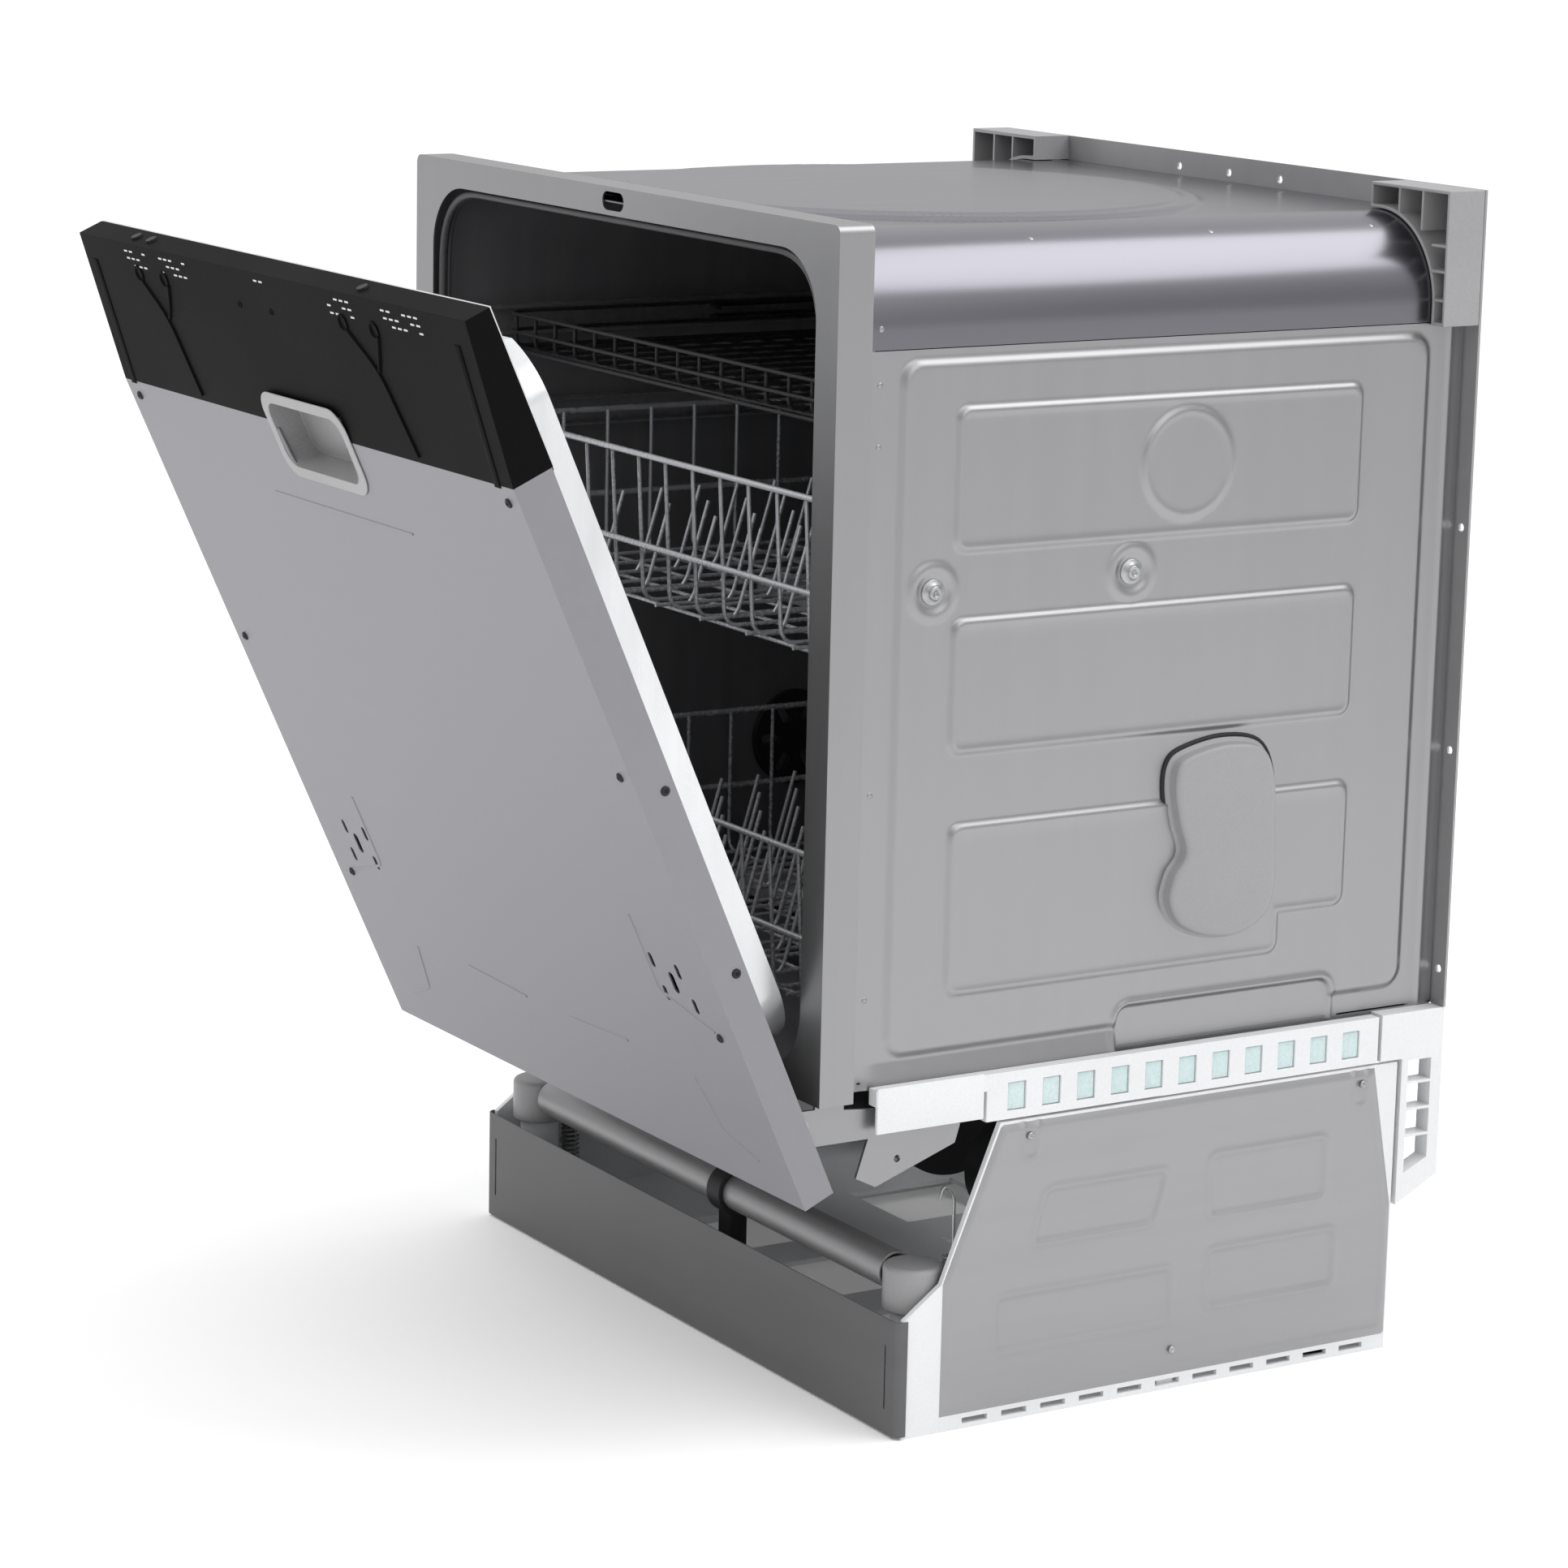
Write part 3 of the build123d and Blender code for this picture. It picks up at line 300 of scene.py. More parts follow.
node_slot = {part["node"]: part["material_slot"] for part in frame["record"]["subparts"]}
print("finishes", len(by_slot), "slots", len(node_slot), "nodes")

# %% [markdown]
# Every CAD node first gets its slot's finish, in its own material slots. The mesh itself is not touched.

# %% Dress the CAD nodes
for name, piece in nodes.items():
    for index in range(max(1, len(piece.data.materials))):
        if index < len(piece.data.materials):
            piece.data.materials[index] = by_slot[node_slot[name]]
        else:
            piece.data.materials.append(by_slot[node_slot[name]])
body_of = {n: b for b, members in frame["record"]["behaviour"]["bodies"].items() for n in members}

# %% [markdown]
# ## Rounded edges
# No folded sheet or moulded part has razor edges: each edge catches a thin line of light. A CAD solid
# arrives as loose triangles, so a copy is welded, its flat triangles are joined again, and a Bevel
# modifier with an angle limit rounds only its real edges. A Weighted Normal modifier then keeps the flat
# faces flat. The copy replaces the CAD node in the picture, and the node stays in the physics model.

# %% Softening helper
FLAT_ANGLE, EDGE_ANGLE = math.radians(0.6), math.radians(32)


def settled(piece):
    """A plain mesh object of what a piece's modifiers make of it."""
    graph = bpy.context.evaluated_depsgraph_get()
    mesh = bpy.data.meshes.new_from_object(piece.evaluated_get(graph))
    name = piece.name
    bpy.data.objects.remove(piece)
    mesh.name = name
    return link_object(name, mesh)


def welded(node):
    """Verts and faces of a CAD node with its triangles welded and its flat faces joined."""
    shell = bmesh.new()
    shell.from_mesh(nodes[node].data)
    bmesh.ops.remove_doubles(shell, verts=shell.verts, dist=2e-6)
    bmesh.ops.dissolve_limit(shell, angle_limit=FLAT_ANGLE, verts=shell.verts, edges=shell.edges)
    shell.verts.ensure_lookup_table()
    places = [tuple(v.co) for v in shell.verts]
    faces = [[v.index for v in f.verts] for f in shell.faces]
    shell.free()
    return places, faces


def solid_mesh(name, places, faces, material):
    mesh = bpy.data.meshes.new(name)
    mesh.from_pydata([tuple(p) for p in places], [], faces)
    mesh.materials.append(material)
    mesh.validate()
    mesh.polygons.foreach_set("use_smooth", [True] * len(mesh.polygons))
    return link_object(name, mesh)


def settle_on(piece, body, slot, *replaced):
    if replaced:
        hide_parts(*replaced)
    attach(piece, body)
    return piece


def softened(node, width, material=None):
    """A rounded copy of a CAD node that replaces it; width in mm."""
    places, faces = welded(node)
    piece = solid_mesh(f"{node}_rounded", places, faces, material or by_slot[node_slot[node]])
    bevel = piece.modifiers.new("round", "BEVEL")
    bevel.width = width * MM
    bevel.segments = 2
    bevel.limit_method = "ANGLE"
    bevel.angle_limit = EDGE_ANGLE
    bevel.use_clamp_overlap = True
    normals = piece.modifiers.new("flat_faces", "WEIGHTED_NORMAL")
    normals.keep_sharp = False
    piece = settled(piece)
    return settle_on(piece, body_of[node], node_slot[node], node)


# %% Round the rigid parts
ROUNDING = {
    "front_frame": 1.0, "door_panel": 1.0, "console": 1.2, "door_liner": 1.6, "handle_cup": 1.0,
    "kick_plate": 0.5, "base_tray": 0.8, "leg_caps": 0.8, "front_beam": 0.6, "beam_clip": 0.8,
    "corner_block_left": 0.8, "corner_block_right": 0.8,
    "support_rail_left": 0.5, "support_rail_right": 0.5,
    "rear_frame": 0.5, "hinge_plate_left": 0.4,
    "hinge_plate_right": 0.4, "hinge_arms": 0.5, "rack_rails": 0.4,
    "air_break": 2.0, "door_latch": 0.5, "lower_spray_arm": 0.8, "upper_spray_arm": 1.2,
    "wall_grille": 0.8, "dispenser": 1.0, "dispenser_lid": 0.8, "rinse_cap": 0.6,
    "foot_front_left": 0.4, "foot_front_right": 0.4, "foot_rear_left": 0.4, "foot_rear_right": 0.4,
}
FINISH_OF = {
    "corner_block_left": block_plastic, "corner_block_right": block_plastic,
    "front_beam": cover_steel, "rear_frame": cover_steel,
}
for node, width in ROUNDING.items():
    made = softened(node, width, material=FINISH_OF.get(node))
    print(node, "rounded by", width, "mm,", len(made.data.polygons), "faces")

# %% [markdown]
# ## Pressed sheets
# The tub's walls are one thin sheet with fields pressed outwards so that the large flat area does not
# drum. A press leaves soft shoulders, a few millimetres wide, so the sheet is drawn as a height over a
# grid: a signed distance tells how far a point is inside a field, and a smooth step turns that distance
# into the shoulder. The grid is fine only where a shoulder runs, which keeps the mesh light.

# %% Pressing helpers
SHARP_ANGLE = math.radians(50)


def at(y):
    """Row y in mm of a point given as its distance behind the front frame."""
    return FRONT / MM + y


def graded(low, high, coarse, marks, fine=1.3, reach=4.5, zones=()):
    """Grid lines from low to high, close together near the marks and inside the zones."""
    lines = [low]
    while lines[-1] < high:
        here = lines[-1]
        pace = coarse
        for mark in marks:
            pace = min(pace, fine + 0.5 * max(0.0, abs(here - mark) - reach))
        for start, end, size in zones:
            pace = min(pace, size + 0.5 * max(0.0, start - here, here - end))
        lines.append(here + pace)
    lines[-1] = high
    return np.array(lines)


def in_field(u, v, left, right_end, low, high, corner):
    """Signed distance to a rounded rectangle, positive inside."""
    du = np.abs(u - (left + right_end) / 2) - (right_end - left) / 2 + corner
    dv = np.abs(v - (low + high) / 2) - (high - low) / 2 + corner
    outside = np.hypot(np.maximum(du, 0), np.maximum(dv, 0)) + np.minimum(np.maximum(du, dv), 0)
    return corner - outside


def in_disc(u, v, centre_u, centre_v, radius):
    return radius - np.hypot(u - centre_u, v - centre_v)


def shoulder(distance, width):
    """0 outside, 1 inside, with a smooth ramp as wide as the press leaves."""
    share = np.clip(distance / width + 0.5, 0, 1)
    return share * share * (3 - 2 * share)


def bead(distance, width):
    """A narrow ridge that follows an outline."""
    return np.exp(-((distance / width) ** 2))


def facing_out(piece):
    """Turns every face of a closed piece outwards."""
    shell = bmesh.new()
    shell.from_mesh(piece.data)
    bmesh.ops.recalc_face_normals(shell, faces=shell.faces)
    shell.to_mesh(piece.data)
    shell.free()


def sheet_between(name, outer, inner, material):
    """A closed thin sheet between two grids of points (mm)."""
    across, along = outer.shape[:2]
    places = np.concatenate([outer.reshape(-1, 3), inner.reshape(-1, 3)]) * MM
    index = np.arange(across * along).reshape(across, along)
    quads = [
        np.stack([index[:-1, :-1], index[1:, :-1], index[1:, 1:], index[:-1, 1:]], -1).reshape(-1, 4),
        np.stack([index[:-1, :-1], index[:-1, 1:], index[1:, 1:], index[1:, :-1]], -1).reshape(-1, 4)
        + across * along,
    ]
    rim = np.concatenate([index[0, :-1], index[:-1, -1], index[-1, :0:-1], index[:0:-1, 0]])
    after = np.roll(rim, -1)
    quads.append(np.stack([rim, after, after + across * along, rim + across * along], -1))
    piece = solid_mesh(name, places, np.concatenate(quads).tolist(), material)
    facing_out(piece)
    shell = bmesh.new()
    shell.from_mesh(piece.data)
    for edge in shell.edges:
        edge.smooth = not (len(edge.link_faces) == 2 and edge.calc_face_angle(0) > SHARP_ANGLE)
    shell.to_mesh(piece.data)
    shell.free()
    return piece


# %% [markdown]
# ### The tub's side walls
# A wide pan with three fields on it, a round field at the top, two round seats for the bolts of the rack
# rails, and a trough at the foot where a hose passes. The left wall is the same pressing, mirrored.

# %% Tub side walls
WALL_X = 284.0
WALL_FRONT, WALL_BACK = 1.5, 532.0
WALL_LOW, WALL_HIGH = 250.0, 752.0
PAN_RISE, FIELD_RISE, SKIRT_RISE = 3.0, 2.0, 3.4
BOLT_SEATS = ((86, 589), (248, 592))
wall_ys = graded(
    WALL_FRONT, WALL_BACK, 7.0, (30, 59, 102, 441, 498, 520),
    zones=((64, 108, 2.0), (227, 270, 1.6), (250, 332, 2.0), (380, 394, 1.6), (424, 444, 1.6)),
)
wall_zs = graded(
    WALL_LOW, WALL_HIGH, 7.0, (262, 272, 284, 309, 338, 428, 477, 569, 615, 712, 743),
    zones=((250, 290, 1.8), (566, 613, 2.0), (625, 705, 2.0)),
)
grid_y, grid_z = np.meshgrid(wall_ys, wall_zs, indexing="ij")


# Pressed fields as near end, far end, foot, head and corner radius, in mm; the low one is two that join.
PAN = (59, 500, 272, 743, 14)
FIELDS = ((102, 441, 615, 712, 9), (102, 441, 477, 569, 9))
LOW_FIELD = ((104, 443, 338, 428, 9), (104, 386, 309, 428, 9))
TROUGH = (250, 436, 240, 284, 10)
DISC = (291, 665, 38.5)


def wall_height(y, z):
    """How far the pressed wall stands out at a point."""
    fields = [in_field(y, z, *field) for field in FIELDS]
    low_field = np.maximum(in_field(y, z, *LOW_FIELD[0]), in_field(y, z, *LOW_FIELD[1]))
    rise = PAN_RISE * shoulder(in_field(y, z, *PAN), 7)
    for field in [*fields, low_field]:
        rise = rise + FIELD_RISE * shoulder(field, 4.5)
        rise = rise + 0.5 * bead(field - 3.0, 2.2)
    disc = in_disc(y, z, *DISC)
    rise = rise + 1.3 * shoulder(disc, 4) + 0.5 * bead(disc - 2.5, 2.0)
    for seat_y, seat_z in BOLT_SEATS:
        rise = rise + 1.2 * shoulder(in_disc(y, z, seat_y, seat_z, 20), 4)
        rise = rise - 1.6 * shoulder(in_disc(y, z, seat_y, seat_z, 13), 5)
    skirt = np.clip((268 - z) / 16, 0, 1) * shoulder(in_disc(y, 0 * z, 150, 0, 104), 8)
    rise = rise + SKIRT_RISE * skirt
    trough_edge = in_field(y, z, *TROUGH)
    trough = shoulder(trough_edge, 4)
    rise = rise * (1 - trough) - 0.3 * trough + 1.3 * bead(trough_edge + 3, 2.2)
    rise = rise + 2.2 * bead(y - 30, 2.0)
    return rise + 1.0 * bead(y - 520, 2.5)


wall_rise = wall_height(grid_y, grid_z)
for side, label in ((1, "right"), (-1, "left")):
    outer = np.stack([side * (WALL_X + wall_rise), at(grid_y), grid_z], -1)
    inner = np.stack([side * (WALL_X + wall_rise - 0.8), at(grid_y), grid_z], -1)
    wall = sheet_between(f"tub_wall_{label}", outer, inner, pressed_steel)
    settle_on(wall, "cabinet", "tub_steel", "tub_shell")
    print(wall.name, len(wall.data.polygons), "faces")

# %% [markdown]
# ### The tub's roof
# The roof turns down into the walls with a large radius. Two shallow round steps stiffen it. The grid
# follows the roof's outline across the machine, so the corner and the flat top are one sheet.

# %% Tub roof
ROOF_TOP, ROOF_CORNER = 826.0, 62.0
corner_x, corner_z = WALL_X - ROOF_CORNER, ROOF_TOP - ROOF_CORNER
turns = np.radians(np.linspace(0, 90, 22))
edge = [(WALL_X, WALL_HIGH - 0.6, 0.0), (WALL_X, corner_z - 6, 0.0)]
edge += [(corner_x + ROOF_CORNER * math.cos(a), corner_z + ROOF_CORNER * math.sin(a), a) for a in turns]
flat_xs = graded(0, corner_x, 5.0, (200, 214), fine=2.4, zones=((100, 216, 2.8),))
flat = [(x, ROOF_TOP, math.pi / 2) for x in flat_xs[-2:0:-1]]
half_roof = edge + flat
roof_line = np.array(half_roof + [(0.0, ROOF_TOP, math.pi / 2)]
                     + [(-x, z, math.pi - a) for x, z, a in half_roof[::-1]])
roof_ys = graded(WALL_FRONT, WALL_BACK, 6.0, (30, 520), zones=((20, 130, 3.0), (350, 458, 3.0)))
line_x, grid_y = np.meshgrid(roof_line[:, 0], roof_ys, indexing="ij")
line_z = np.repeat(roof_line[:, 1:2], len(roof_ys), 1)
line_a = np.repeat(roof_line[:, 2:3], len(roof_ys), 1)
roof_rise = 2.6 * shoulder(in_disc(line_x, grid_y, 0, 240, 214), 6)
roof_rise += 1.4 * shoulder(in_disc(line_x, grid_y, 0, 240, 200), 5)
roof_rise += 2.2 * bead(grid_y - 30, 2.0) + 1.0 * bead(grid_y - 520, 2.5)


def roof_points(rise):
    return np.stack([line_x + rise * np.cos(line_a), at(grid_y), line_z + rise * np.sin(line_a)], -1)


roof = sheet_between("tub_roof", roof_points(roof_rise), roof_points(roof_rise - 0.8), roof_steel)
settle_on(roof, "cabinet", "tub_steel", "tub_shell")
print("tub_roof", len(roof.data.polygons), "faces")

# %% [markdown]
# ### The tub's inside
# Behind the pressings lies the polished lining that the racks run in. It is a second thin sheet with a
# few shallow ribs, and its finish is far darker because the closed tub reflects only itself.

# %% Tub lining
LINING_X, LINING_TOP, LINING_CORNER = 282.8, 824.8, 60.8
lining_turns = np.radians(np.linspace(0, 90, 14))
lining_cx, lining_cz = LINING_X - LINING_CORNER, LINING_TOP - LINING_CORNER
lining_zs = graded(255.0, lining_cz - 4, 16.0, (440, 470, 500, 520, 600, 620, 660, 680), fine=3.0)
half_lining = [(LINING_X, z, 0.0) for z in lining_zs]
half_lining += [
    (lining_cx + LINING_CORNER * math.cos(a), lining_cz + LINING_CORNER * math.sin(a), a)
    for a in lining_turns
]
lining_line = np.array(half_lining + [(-x, z, math.pi - a) for x, z, a in half_lining[::-1]])
lining_ys = graded(2.0, 500.0, 18.0, (70, 120, 430), fine=3.0)
line_x, grid_y = np.meshgrid(lining_line[:, 0], lining_ys, indexing="ij")
line_z = np.repeat(lining_line[:, 1:2], len(lining_ys), 1)
line_a = np.repeat(lining_line[:, 2:3], len(lining_ys), 1)
lining_rise = np.zeros_like(line_x)
for low, high in ((440, 500), (520, 600), (620, 680)):
    field = in_field(grid_y, line_z, 70, 430, low, high, 14)
    lining_rise = lining_rise + 0.35 * shoulder(field, 7)
lining_face, lining_back = roof_points(lining_rise + 0.4), roof_points(lining_rise * 0)
lining = sheet_between("tub_lining", lining_face, lining_back, inner_steel)
settle_on(lining, "cabinet", "tub_steel", "tub_shell")
print("tub_lining", len(lining.data.polygons), "faces")

# %% [markdown]
# ## Wires
# Baskets, springs and pressed lines all follow paths. One Geometry Nodes tree turns a mesh of plain edges
# into curves and sweeps a small circle along them. Its radius and its number of sides are inputs, so one
# tree serves thick rims and thin tines.

# %% Wire tree


def wire_tree(name, material):
    tree = bpy.data.node_groups.new(name, "GeometryNodeTree")
    tree.interface.new_socket("Path", in_out="INPUT", socket_type="NodeSocketGeometry")
    tree.interface.new_socket("Wire radius", in_out="INPUT", socket_type="NodeSocketFloat")
    tree.interface.new_socket("Sides", in_out="INPUT", socket_type="NodeSocketInt")
    tree.interface.new_socket("Wire", in_out="OUTPUT", socket_type="NodeSocketGeometry")
    start = add_node(tree, "NodeGroupInput")
    curve = add_node(tree, "GeometryNodeMeshToCurve")
    circle = add_node(tree, "GeometryNodeCurvePrimitiveCircle")
    sweep = add_node(tree, "GeometryNodeCurveToMesh", {"Fill Caps": True})
    real = add_node(tree, "GeometryNodeRealizeInstances")
    paint = add_node(tree, "GeometryNodeSetMaterial", {"Material": material})
    end = add_node(tree, "NodeGroupOutput")
    join_nodes(
        tree,
        (start, "Path", curve, "Mesh"),
        (start, "Wire radius", circle, "Radius"),
        (start, "Sides", circle, "Resolution"),
        (curve, "Curve", sweep, "Curve"),
        (circle, "Curve", sweep, "Profile Curve"),
        (sweep, "Mesh", real, "Geometry"),
        (real, "Geometry", paint, "Geometry"),
        (paint, "Geometry", end, "Wire"),
    )
    return tree


def grown(piece, tree, values):
    """A plain mesh of what a tree makes of a piece; the tree's inputs are set by their identifiers."""
    modifier = piece.modifiers.new("grow", "NODES")
    modifier.node_group = tree
    for item in tree.interface.items_tree:
        if item.item_type == "SOCKET" and item.in_out == "INPUT" and item.name in values:
            modifier[item.identifier] = values[item.name]
    piece = settled(piece)
    piece.data.polygons.foreach_set("use_smooth", [True] * len(piece.data.polygons))
    return piece


def wires(name, paths, radius, material, sides=8):
    """Round wires (mm) along open or closed paths; a path that ends at its start is closed."""
    places, edges = [], []
    for path in paths:
        first = len(places)
        closed = len(path) > 2 and np.allclose(path[0], path[-1])
        points = path[:-1] if closed else path
        places += [tuple(c * MM for c in p) for p in points]
        edges += [(first + i, first + i + 1) for i in range(len(points) - 1)]
        if closed:
            edges.append((first + len(points) - 1, first))
    mesh = bpy.data.meshes.new(name)
    mesh.from_pydata(places, edges, [])
    piece = link_object(name, mesh)
    return grown(piece, wire_tree(f"{name}_tree", material), {"Wire radius": radius * MM, "Sides": sides})


def bent(corners, radius, steps=5, closed=False):
    """A path through corners with its bends rounded."""
    points = [np.array(c, float) for c in corners]
    count = len(points)
    path = []
    for i, here in enumerate(points):
        if not closed and i in (0, count - 1):
            path.append(here)
            continue
        before, after = points[i - 1], points[(i + 1) % count]
        to_before, to_after = before - here, after - here
        room = min(radius, np.linalg.norm(to_before) / 2.01, np.linalg.norm(to_after) / 2.01)
        start = here + to_before / np.linalg.norm(to_before) * room
        end = here + to_after / np.linalg.norm(to_after) * room
        for t in np.linspace(0, 1, steps):
            path.append((1 - t) ** 2 * start + 2 * t * (1 - t) * here + t * t * end)
    if closed:
        path.append(path[0])
    return path


def joined(name, pieces):
    """One mesh object of several."""
    shell = bmesh.new()
    materials = []
    for piece in pieces:
        offset = len(materials)
        materials += list(piece.data.materials)
        before = len(shell.faces)
        shell.from_mesh(piece.data)
        shell.faces.ensure_lookup_table()
        for face in shell.faces[before:]:
            face.material_index += offset
    mesh = bpy.data.meshes.new(name)
    shell.to_mesh(mesh)
    shell.free()
    for material in materials:
        mesh.materials.append(material)
    for piece in pieces:
        bpy.data.objects.remove(piece)
    return link_object(name, mesh)


# %% [markdown]
# ### The baskets
# A dish basket is welded from round coated wire: two thick rims, U-shaped wires that run across and
# along, and rows of tines that hold the plates. The tines lean back, and each has a small bend near its
# foot.

# %% Baskets
RACK_HALF, RACK_FRONT, RACK_BACK = 253.0, 42.0, 468.0
RIM, THIN = 2.3, 1.5


def basket(name, low, high, rim_low, across, along, rows, tine, body, node):
    middle = (RACK_FRONT + RACK_BACK) / 2
    ys = [middle + (RACK_BACK - middle) * 0.9 * (2 * i / (across - 1) - 1) for i in range(across)]
    xs = [RACK_HALF * 0.9 * (2 * i / (along - 1) - 1) for i in range(along)]
    rims = []
    for z in (high - RIM, rim_low):
        ring = [(-RACK_HALF, at(RACK_FRONT), z), (RACK_HALF, at(RACK_FRONT), z),
                (RACK_HALF, at(RACK_BACK), z), (-RACK_HALF, at(RACK_BACK), z)]
        rims.append(bent(ring, 26, 7, closed=True))
    thin = []
    inset = RIM + THIN
    for y in ys:
        reach = RACK_HALF - inset
        thin.append(bent([(-reach, at(y), high - RIM), (-reach, at(y), low + THIN),
                          (reach, at(y), low + THIN), (reach, at(y), high - RIM)], 12))
    for x in xs:
        near, far = at(RACK_FRONT + inset), at(RACK_BACK - inset)
        floor_z = low + THIN + 2 * THIN
        thin.append(bent([(x, near, high - RIM), (x, near + 6, floor_z), (x, far - 6, floor_z),
                          (x, far, high - RIM)], 12))
    for x in rows:
        thin.append([(x, at(RACK_FRONT + 8), low + 3 * THIN), (x, at(RACK_BACK - 8), low + 3 * THIN)])
        for i in range(12):
            y = RACK_FRONT + 36 + 33 * i
            lean = tine * 0.26
            thin.append(bent([(x, at(y), low + 3 * THIN), (x, at(y + 4), low + 10),
                              (x, at(y + 4 + lean), low + tine)], 8, 4))
    thick_wires = wires(f"{name}_rims", rims, RIM, wire_coat)
    thin_wires = wires(f"{name}_thin", thin, THIN, wire_coat)
    made = joined(name, [thick_wires, thin_wires])
    print(name, len(made.data.polygons), "faces")
    return settle_on(made, body, "wire_coat", node)


UPPER_ROWS = (-152, -84, -18, 45, 108, 170)
LOWER_ROWS = (-172, -116, -60, 0, 60, 116, 172)
basket("upper_basket_wires", 530, 645, 578, 11, 13, UPPER_ROWS, 66, "upper_basket", "upper_rack")
basket("lower_basket_wires", 286, 400, 338, 11, 13, LOWER_ROWS, 78, "lower_basket", "lower_rack")

# %% [markdown]
# ### The cutlery tray
# The tray above the upper basket is a shallow basket of its own, in thin dark-coated wire, so it almost
# disappears in the shade of the tub.

# %% Cutlery tray
TRAY_LOW, TRAY_HIGH, TRAY_NEAR = 692.0, 722.0, 52.0
tray_ring = [(-RACK_HALF, at(TRAY_NEAR), 0), (RACK_HALF, at(TRAY_NEAR), 0),
             (RACK_HALF, at(RACK_BACK), 0), (-RACK_HALF, at(RACK_BACK), 0)]
tray_paths = []
for z in (TRAY_LOW + THIN, (TRAY_LOW + TRAY_HIGH) / 2, TRAY_HIGH - THIN):
    tray_paths.append(bent([(x, y, z) for x, y, _ in tray_ring], 20, 6, closed=True))
near, far = at(TRAY_NEAR + 3), at(RACK_BACK - 3)
rim_z, floor_z = TRAY_HIGH - THIN, TRAY_LOW + 3 * THIN
for i in range(17):
    x = -240 + 30 * i
    tray_paths.append(bent([(x, near, rim_z), (x, near, floor_z), (x, far, floor_z), (x, far, rim_z)], 6))
for i in range(15):
    y = TRAY_NEAR + 14 + 28 * i
    tray_paths.append([(-RACK_HALF, at(y), TRAY_LOW + THIN), (RACK_HALF, at(y), TRAY_LOW + THIN)])
for side in (1, -1):
    for z in (TRAY_LOW + 16, TRAY_LOW + 24):
        tray_paths.append([(side * 252, at(240), z), (side * 272, at(244), z), (side * 272, at(436), z),
                           (side * 252, at(440), z)])
tray = wires("cutlery_tray_wires", tray_paths, THIN, dark_plastic, 6)
settle_on(tray, "tray", "wire_coat", "cutlery_tray")
print("cutlery tray", len(tray.data.polygons), "faces")

# %% [markdown]
# ## Pieces that repeat
# Screws, weld marks, windows and printed marks are one shape set down many times. A second Geometry Nodes
# tree puts a stamp on every point of a mesh and turns the stamp's own Z to the direction stored on that
# point.

# %% Stamp tree


def stamp_tree(name, stamp, material):
    tree = bpy.data.node_groups.new(name, "GeometryNodeTree")
    tree.interface.new_socket("Places", in_out="INPUT", socket_type="NodeSocketGeometry")
    tree.interface.new_socket("Size", in_out="INPUT", socket_type="NodeSocketFloat")
    tree.interface.new_socket("Stamps", in_out="OUTPUT", socket_type="NodeSocketGeometry")
    start = add_node(tree, "NodeGroupInput")
    shape = add_node(tree, "GeometryNodeObjectInfo", {"Object": stamp})
    facing = add_node(tree, "GeometryNodeInputNamedAttribute", {"Name": "facing"})
    heading = add_node(tree, "GeometryNodeInputNamedAttribute", {"Name": "heading"})
    for stored in (facing, heading):
        stored.data_type = "FLOAT_VECTOR"
    turn = add_node(tree, "FunctionNodeAlignRotationToVector")
    turn.axis = "Z"
    twist = add_node(tree, "FunctionNodeAlignRotationToVector")
    twist.axis = "X"
    twist.pivot_axis = "Z"
    copies = add_node(tree, "GeometryNodeInstanceOnPoints")
    real = add_node(tree, "GeometryNodeRealizeInstances")
    paint = add_node(tree, "GeometryNodeSetMaterial", {"Material": material})
    end = add_node(tree, "NodeGroupOutput")
    join_nodes(
        tree,
        (start, "Places", copies, "Points"),
        (shape, "Geometry", copies, "Instance"),
        (facing, "Attribute", turn, "Vector"),
        (turn, "Rotation", twist, "Rotation"),
        (heading, "Attribute", twist, "Vector"),
        (twist, "Rotation", copies, "Rotation"),
        (start, "Size", copies, "Scale"),
        (copies, "Instances", real, "Geometry"),
        (real, "Geometry", paint, "Geometry"),
        (paint, "Geometry", end, "Stamps"),
    )
    return tree


def stamped(name, stamp_mesh, spots, material, size=1.0):
    """Stamps (mesh in mm, +Z outwards) at spots of (place in mm, facing, heading of the stamp's X)."""
    stamp = bpy.data.objects.new(f"{name}_stamp", stamp_mesh)
    mesh = bpy.data.meshes.new(name)
    mesh.from_pydata([tuple(c * MM for c in place) for place, _, _ in spots], [], [])
    for label, column in (("facing", 1), ("heading", 2)):
        values = mesh.attributes.new(label, "FLOAT_VECTOR", "POINT")
        values.data.foreach_set("vector", np.array([spot[column] for spot in spots], float).ravel())
    piece = link_object(name, mesh)
    piece = grown(piece, stamp_tree(f"{name}_tree", stamp, material), {"Size": size * MM})
    for label in ("facing", "heading"):
        if label in piece.data.attributes:
            piece.data.attributes.remove(piece.data.attributes[label])
    bpy.data.objects.remove(stamp)
    return piece


def turned(name, profile, sides=16):
    """A closed solid of revolution about Z from (radius, height) pairs; both ends lie on the axis."""
    places, faces = [(0, 0, profile[0][1])], []
    rings = profile[1:-1]
    for radius, height in rings:
        for i in range(sides):
            angle = 2 * math.pi * i / sides
            places.append((radius * math.cos(angle), radius * math.sin(angle), height))
    places.append((0, 0, profile[-1][1]))
    for i in range(sides):
        after = (i + 1) % sides
        faces.append((0, 1 + after, 1 + i))
        for ring in range(len(rings) - 1):
            low, high = 1 + ring * sides, 1 + (ring + 1) * sides
            faces.append((low + i, low + after, high + after, high + i))
        last = 1 + (len(rings) - 1) * sides
        faces.append((last + i, last + after, len(places) - 1))
    mesh = bpy.data.meshes.new(name)
    mesh.from_pydata(places, [], faces)
    return mesh


